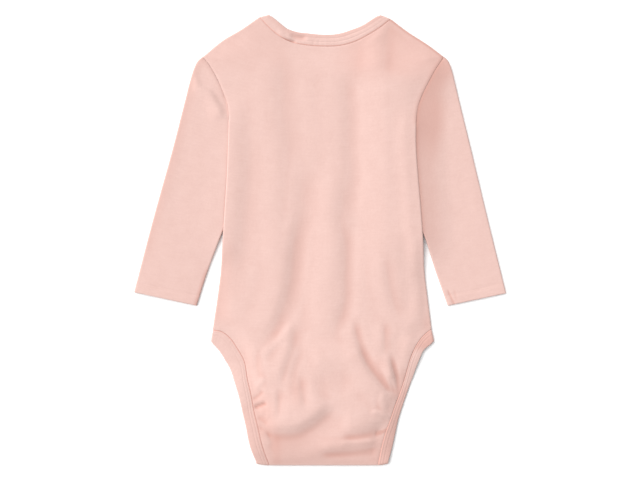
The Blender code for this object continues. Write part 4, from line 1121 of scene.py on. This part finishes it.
def leg_strip(back_rows, front_rows, side):
    """From the flap's end round the fold, up the back, over the hip and down to the tab."""
    strip = Strip()
    flap = along([(f.y, 0.0, f.seam_left, f.free_left, f.seam_right, f.free_right) for f in FLAP], np.linspace(1, 0, 34))
    for row in flap[:-1]:
        y, seam_x, free_x = row[0], row[2 if side < 0 else 4], row[3 if side < 0 else 5]
        z = [float(flap_height(np.array(q), np.array(y))) - BAND / 2 for q in (seam_x, free_x)]
        strip.add((seam_x + side * BAND_GAP, y, z[0]), (free_x, y, z[1]), (0, 0, -1), y - 400.0)
    seam, free = coarse_ends(back_rows, 132, BAND_GAP, BAND / 2)
    for points in (seam, free):
        lying_lower(points)
        points[:, 2] += back_lift(points[:, 0], points[:, 1])
    for points in (seam, free):
        points[:, 2] += leg_rise(side, points[:, 1])
    if side < 0:
        free[:, 2] += 1.5 * smooth((-118.0 - free[:, 1]) / 40.0) * smooth((free[:, 1] - FOLD_Y) / 12.0)
    low_seam, low_free = coarse_ends(front_rows, 118, BAND_GAP, -BAND / 2)
    for points in (low_seam, low_free):
        points[:, 2] += TAB_LIFT * snap_row(points[:, 0], points[:, 1])
    ground = FLAP_GROUND - BAND / 2
    for step in range(12, 0, -1):
        turn = math.pi * step / 12
        place = []
        for p in (seam[-1], free[-1]):
            radius = (p[2] - ground) / 2
            place.append((p[0], p[1] - radius * math.sin(turn), (p[2] + ground) / 2 + radius * math.cos(turn)))
        strip.add(place[0], place[1], (0, -math.sin(turn), math.cos(turn)), -205.0)
    out = way_out(seam[0], free[0], -1 if side < 0 else 1)
    pulled_in(seam, free, 0, 1, out, TURN)
    pulled_in(low_seam, low_free, 0, 1, out, TURN)
    for s, f in list(zip(seam, free))[::-1]:
        strip.add(s, f, (0, 0, 1), s[1])
    turn_stations(strip, (seam[0], free[0]), (low_seam[0], low_free[0]), out, 12, seam[0, 1])
    for s, f in zip(low_seam, low_free):
        strip.add(s, f, (0, 0, -1), s[1] - 400.0)
    return strip


def leg_profile(distance, width, spot, base):
    """Dips at the seam, turns in at the free edge, with two rows of stitches."""
    to_free = width - distance
    height = -seam_dip(distance, 0.30, 1.6) - round_edge(to_free, 0.9)
    height = height + 0.25 * np.sin(math.pi * np.clip(distance / width, 0, 1))
    for place in (2.4, 5.2):
        height = height - 0.17 * np.exp(-(((distance - place) / 0.5) ** 2))
    return height


legs = []
for name, back_rows, front_rows, side in (
    ("leg_binding_left_cloth", LEG_BACK_LEFT, LEG_FRONT_LEFT, -1),
    ("leg_binding_right_cloth", LEG_BACK_RIGHT, LEG_FRONT_RIGHT, 1),
):
    leg_grid, leg_flat = leg_strip(back_rows, front_rows, side).grid(leg_profile)
    # Painted shade: along the lower part of both bindings, and at the right binding's top by the hip.
    low = smooth((-128.0 - leg_grid[..., 1]) / 18.0) if side > 0 else smooth((-144.0 - leg_grid[..., 1]) / 26.0)
    high = smooth((leg_grid[..., 1] + 106.0) / 8.0) * smooth((-82.0 - leg_grid[..., 1]) / 5.0)
    shade = 0.55 * low + 0.75 * high if side > 0 else 0.28 * low
    legs.append(shell(name, leg_grid, leg_flat, BAND_WALL, flip=side > 0, marks={"painted_shade": shade}))
leg_left, leg_right = legs


# ---- Snaps -----------------------------------------------------------------------
Turn = namedtuple("Turn", "radius z")
CAP = [
    Turn(0.0, 2.45), Turn(2.25, 2.45), Turn(2.35, 2.55), Turn(2.40, 2.90), Turn(2.55, 3.00),
    Turn(4.1, 3.00), Turn(4.35, 2.94), Turn(4.5, 2.78), Turn(4.5, 2.15), Turn(POST_RADIUS, 2.15),
    Turn(POST_RADIUS, 0.55), Turn(4.55, 0.55), Turn(SNAP_RADIUS, 0.45), Turn(SNAP_RADIUS, 0.30),
    Turn(4.5, 0.08), Turn(4.2, 0.0), Turn(3.5, 0.0), Turn(3.3, 0.12), Turn(1.4, 0.16), Turn(0.0, 0.16),
]
STUD = [
    Turn(0.0, 5.66), Turn(2.2, 5.68), Turn(3.3, 5.80), Turn(4.2, 5.80), Turn(4.6, 5.68),
    Turn(SNAP_RADIUS, 5.50), Turn(SNAP_RADIUS, 5.36), Turn(4.6, 5.30), Turn(POST_RADIUS, 5.30),
    Turn(POST_RADIUS, 3.70), Turn(4.15, 3.70), Turn(4.3, 3.60), Turn(4.3, 3.38), Turn(4.2, 3.30),
    Turn(1.9, 3.30), Turn(2.0, 3.05), Turn(1.95, 2.88), Turn(1.7, 2.75), Turn(0.0, 2.75),
]


def turned(name, profile, x, segments=56):
    points, faces = [], []
    rings = []
    for p in profile:
        if p.radius == 0.0:
            rings.append([len(points)])
            points.append((x * MM, SNAP_Y * MM, p.z * MM))
        else:
            rings.append(list(range(len(points), len(points) + segments)))
            for k in range(segments):
                angle = 2 * math.pi * k / segments
                points.append((
                    (x + p.radius * math.cos(angle)) * MM, (SNAP_Y + p.radius * math.sin(angle)) * MM, p.z * MM,
                ))
    for upper, lower in zip(rings, rings[1:]):
        for k in range(segments):
            n = (k + 1) % segments
            if len(upper) == 1:
                faces.append((upper[0], lower[k], lower[n]))
            elif len(lower) == 1:
                faces.append((upper[k], lower[0], upper[n]))
            else:
                faces.append((upper[k], lower[k], lower[n], upper[n]))
    mesh = bpy.data.meshes.new(name)
    mesh.from_pydata(points, [], faces)
    mesh.shade_smooth()
    mesh.set_sharp_from_angle(angle=math.radians(40))
    made = bpy.data.objects.new(name, mesh)
    bpy.context.scene.collection.objects.link(made)
    return made


snaps = []
for kind, profile in (("snap_cap", CAP), ("snap_stud", STUD)):
    for number, x in enumerate(SNAP_X, 1):
        snaps.append((turned(f"{kind}_{number}_turned", profile, x), f"{kind}_{number}"))


# ---- Finishes --------------------------------------------------------------------
class Graph:
    """A node material, written from the shader back."""

    def __init__(self, name):
        self.material = bpy.data.materials.new(name)
        self.material.use_nodes = True
        self.tree = self.material.node_tree
        self.shader = self.tree.nodes["Principled BSDF"]

    def put(self, socket, value):
        if isinstance(value, bpy.types.NodeSocket):
            self.tree.links.new(value, socket)
        else:
            socket.default_value = value

    def node(self, kind, settings=(), **values):
        made = self.tree.nodes.new(kind)
        for key, value in dict(settings).items():
            setattr(made, key, value)
        for key, value in values.items():
            self.put(made.inputs[key.replace("_", " ")], value)
        return made

    def math(self, operation, first, second=0.0, third=0.0):
        made = self.tree.nodes.new("ShaderNodeMath")
        made.operation = operation
        for socket, value in zip(made.inputs, (first, second, third)):
            self.put(socket, value)
        return made.outputs[0]

    def blend(self, share, first, second):
        made = self.tree.nodes.new("ShaderNodeMix")
        made.data_type = "RGBA"
        self.put(made.inputs[0], share)
        self.put(made.inputs[6], first)
        self.put(made.inputs[7], second)
        return made.outputs[2]


def tone(color, gain, deeper=1.0):
    """The colour times a gain; `deeper` above 1 makes it stronger as well."""
    top = max(color)
    return (*[top * gain * (c / top) ** deeper for c in color], 1.0)


def jersey(name, color, wale=0.85, course=0.62, stitches=(), across="X", bump=0.35, seam=0.0):
    """Fine knit: rows of stitches in the cloth's own millimetres, a little uneven.

    `seam` is how far the painted shade of a seam's groove, a deeper colour, reaches into a band.
    """
    g = Graph(name)
    uv = g.node("ShaderNodeUVMap", {"uv_map": "cloth"})
    split = g.node("ShaderNodeSeparateXYZ", Vector=uv.outputs["UV"])
    u, v = (g.math("MULTIPLY", split.outputs[k], 100.0) for k in ("X", "Y"))
    place = g.node("ShaderNodeTexCoord").outputs["Object"]
    drift = g.node("ShaderNodeTexNoise", Vector=place, Scale=140.0, Detail=2.0)
    wander = g.math("MULTIPLY", g.math("SUBTRACT", drift.outputs[0], 0.5), 0.5)
    wales = g.math("ABSOLUTE", g.math("SINE", g.math("MULTIPLY", g.math("ADD", u, wander), math.pi / wale)))
    slant = g.math("MULTIPLY", wales, 0.22)
    courses = g.math("SINE", g.math("MULTIPLY", g.math("ADD", v, slant), 2 * math.pi / course))
    knit = g.math("MULTIPLY_ADD", courses, 0.22, g.math("MULTIPLY", wales, 0.6))
    fuzz = g.node("ShaderNodeTexNoise", Vector=place, Scale=1500.0, Detail=3.0, Roughness=0.6)
    height = g.math("MULTIPLY_ADD", fuzz.outputs[0], 0.7, knit)
    # Uneven tension: soft dapples, a few millimetres wide.
    dapple = g.node("ShaderNodeTexNoise", Vector=place, Scale=330.0, Detail=3.0, Roughness=0.55)
    height = g.math("MULTIPLY_ADD", dapple.outputs[0], 2.2, height)
    thread = None
    side = u if across == "X" else v
    run = v if across == "X" else u
    for distance in stitches:
        off = g.math("ABSOLUTE", g.math("SUBTRACT", side, distance))
        line = g.math("LESS_THAN", off, 0.30)
        dash = g.math("GREATER_THAN", g.math("SINE", g.math("MULTIPLY", run, 2 * math.pi / 2.6)), -0.62)
        one = g.math("MULTIPLY", line, dash)
        thread = one if thread is None else g.math("MAXIMUM", thread, one)
    if thread is not None:
        height = g.math("MULTIPLY_ADD", thread, 1.1, height)
    relief = g.node("ShaderNodeBump", Strength=bump, Distance=0.00016, Height=height)
    cloudy = g.node("ShaderNodeTexNoise", Vector=place, Scale=95.0, Detail=4.0, Roughness=0.6)
    # Courses are a little thicker or thinner from one to the next: faint lines across.
    lined = g.node("ShaderNodeCombineXYZ", X=g.math("MULTIPLY", u, 0.075), Y=g.math("MULTIPLY", v, 0.62))
    uneven = g.node("ShaderNodeTexNoise", Vector=lined.outputs[0], Scale=1.0, Detail=3.0, Roughness=0.65)
    fine = g.node("ShaderNodeTexNoise", Vector=place, Scale=620.0, Detail=2.0, Roughness=0.6)
    share = g.math("MULTIPLY_ADD", g.math("SUBTRACT", cloudy.outputs[0], 0.5), 1.0, 0.5)
    share = g.math("MULTIPLY_ADD", g.math("SUBTRACT", uneven.outputs[0], 0.5), 1.1, share)
    share = g.math("MULTIPLY_ADD", g.math("SUBTRACT", fine.outputs[0], 0.5), 1.0, share)
    paint = g.blend(share, tone(color, 0.955, 1.05), tone(color, 1.045, 0.95))
    # Painted shade between the wales, where the knit lies deeper: the cloth is a little deeper in colour there.
    paint = g.blend(g.math("MULTIPLY", g.math("SUBTRACT", 1.0, wales), 0.35), paint, tone(color, 0.93, 1.15))
    # Painted shade: each piece's shade mark turns the cloth deeper and stronger in colour, in creases, pits and seams
    # and where cloth should lie in less light.
    painted_shade = g.node("ShaderNodeAttribute", {"attribute_name": "painted_shade"}).outputs["Fac"]
    paint = g.blend(painted_shade, paint, tone(color, 0.86, 1.5))
    # Painted shade along the rows of stitches, as in their grooves.
    if thread is not None:
        paint = g.blend(g.math("MULTIPLY", thread, 0.4), paint, tone(color, 0.94, 1.1))
    # Painted shade of the seam's groove: a deeper colour beside it.
    if seam > 0.0:
        paint = g.blend(g.math("LESS_THAN", u, seam), paint, tone(color, 1.0, 1.5))
    g.put(g.shader.inputs["Base Color"], paint)
    g.put(g.shader.inputs["Normal"], relief.outputs[0])
    g.put(g.shader.inputs["Roughness"], 0.93)
    g.put(g.shader.inputs["Specular IOR Level"], 0.18)
    g.put(g.shader.inputs["Sheen Weight"], 0.22)
    g.put(g.shader.inputs["Sheen Roughness"], 0.55)
    g.put(g.shader.inputs["Sheen Tint"], (1.0, 0.86, 0.82, 1.0))
    return g.material


def lacquer(name, color):
    g = Graph(name)
    place = g.node("ShaderNodeTexCoord").outputs["Object"]
    speck = g.node("ShaderNodeTexNoise", Vector=place, Scale=900.0, Detail=3.0)
    g.put(g.shader.inputs["Base Color"], g.blend(speck.outputs[0], tone(color, 0.97), tone(color, 1.03)))
    g.put(g.shader.inputs["Roughness"], g.math("MULTIPLY_ADD", speck.outputs[0], 0.16, 0.24))
    g.put(g.shader.inputs["Metallic"], 0.2)
    g.put(g.shader.inputs["Coat Weight"], 0.3)
    return g.material


PINK = (0.634, 0.432, 0.388)
BODY = jersey("jersey_body", PINK)
SLEEVE = jersey("jersey_sleeves", PINK, stitches=(HEM - 0.9, HEM + 0.9), across="Y")
NECK_BAND = jersey("jersey_neckband", PINK, wale=0.8, course=0.6, seam=0.9)
LEG_BAND = jersey("jersey_leg_bands", PINK, wale=0.8, course=0.6, stitches=(2.4, 5.2), seam=0.9)
SNAP = lacquer("snap_lacquer_shaded", (0.72, 0.50, 0.46))

for made, node, slot, finish in (
    (back, "back_panel", "jersey_back", BODY),
    (front, "front_panel", "jersey_front", BODY),
    (sleeve_left, "sleeve_left", "jersey_sleeve", SLEEVE),
    (sleeve_right, "sleeve_right", "jersey_sleeve", SLEEVE),
    (neckband, "neckband", "jersey_band", NECK_BAND),
    (leg_left, "leg_binding_left", "jersey_band", LEG_BAND),
    (leg_right, "leg_binding_right", "jersey_band", LEG_BAND),
    *[(snap, node, "snap_lacquer", SNAP) for snap, node in snaps],
):
    made.data.materials.append(finish)
    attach(made, "root")
    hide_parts(node)

# ---- A record for how a piece of cloth was cut, in metres; none is filled in --------
Cut = namedtuple("Cut", "piece width length area rests_on")

# ---- Set -------------------------------------------------------------------------
floor_mesh = bpy.data.meshes.new("floor")
floor_mesh.from_pydata([(-3, -3, 0), (3, -3, 0), (3, 3, 0), (-3, 3, 0)], [], [(0, 1, 2, 3)])
floor = bpy.data.objects.new("floor", floor_mesh)
floor.location.z = -0.0001
bpy.context.scene.collection.objects.link(floor)
paper = Graph("paper")
grain = paper.node("ShaderNodeTexNoise", Vector=paper.node("ShaderNodeTexCoord").outputs["Object"], Scale=900.0)
paper.put(paper.shader.inputs["Base Color"],
          paper.blend(grain.outputs[0], (0.955, 0.955, 0.955, 1.0), (0.965, 0.965, 0.965, 1.0)))
paper.put(paper.shader.inputs["Roughness"], 1.0)
paper.put(paper.shader.inputs["Specular IOR Level"], 0.0)
floor_mesh.materials.append(paper.material)

KEY_FROM = (-0.84, 0.54, 0.72)
KEY_STRENGTH, KEY_ANGLE, SKY = 4.35, 78.0, 0.62
key_data = bpy.data.lights.new("key", "SUN")
key_data.energy = KEY_STRENGTH
key_data.angle = math.radians(KEY_ANGLE)
key = bpy.data.objects.new("key", key_data)
bpy.context.scene.collection.objects.link(key)
key.location = KEY_FROM
key.rotation_euler = (-Vector(KEY_FROM)).to_track_quat("-Z", "Y").to_euler()

world = bpy.data.worlds.new("studio")
world.use_nodes = True
world.node_tree.nodes["Background"].inputs["Color"].default_value = (1.0, 1.0, 1.0, 1.0)
world.node_tree.nodes["Background"].inputs["Strength"].default_value = SKY
scene = bpy.context.scene
scene.world = world
scene.view_settings.view_transform = "Standard"

lens = bpy.data.cameras.new("camera")
lens.lens, lens.sensor_width = 85.0, 36.0
lens.clip_start, lens.clip_end = 0.05, 20.0
camera = bpy.data.objects.new("camera", lens)
bpy.context.scene.collection.objects.link(camera)
camera.location = (0.0, 0.0, 1.410)
scene.camera = camera
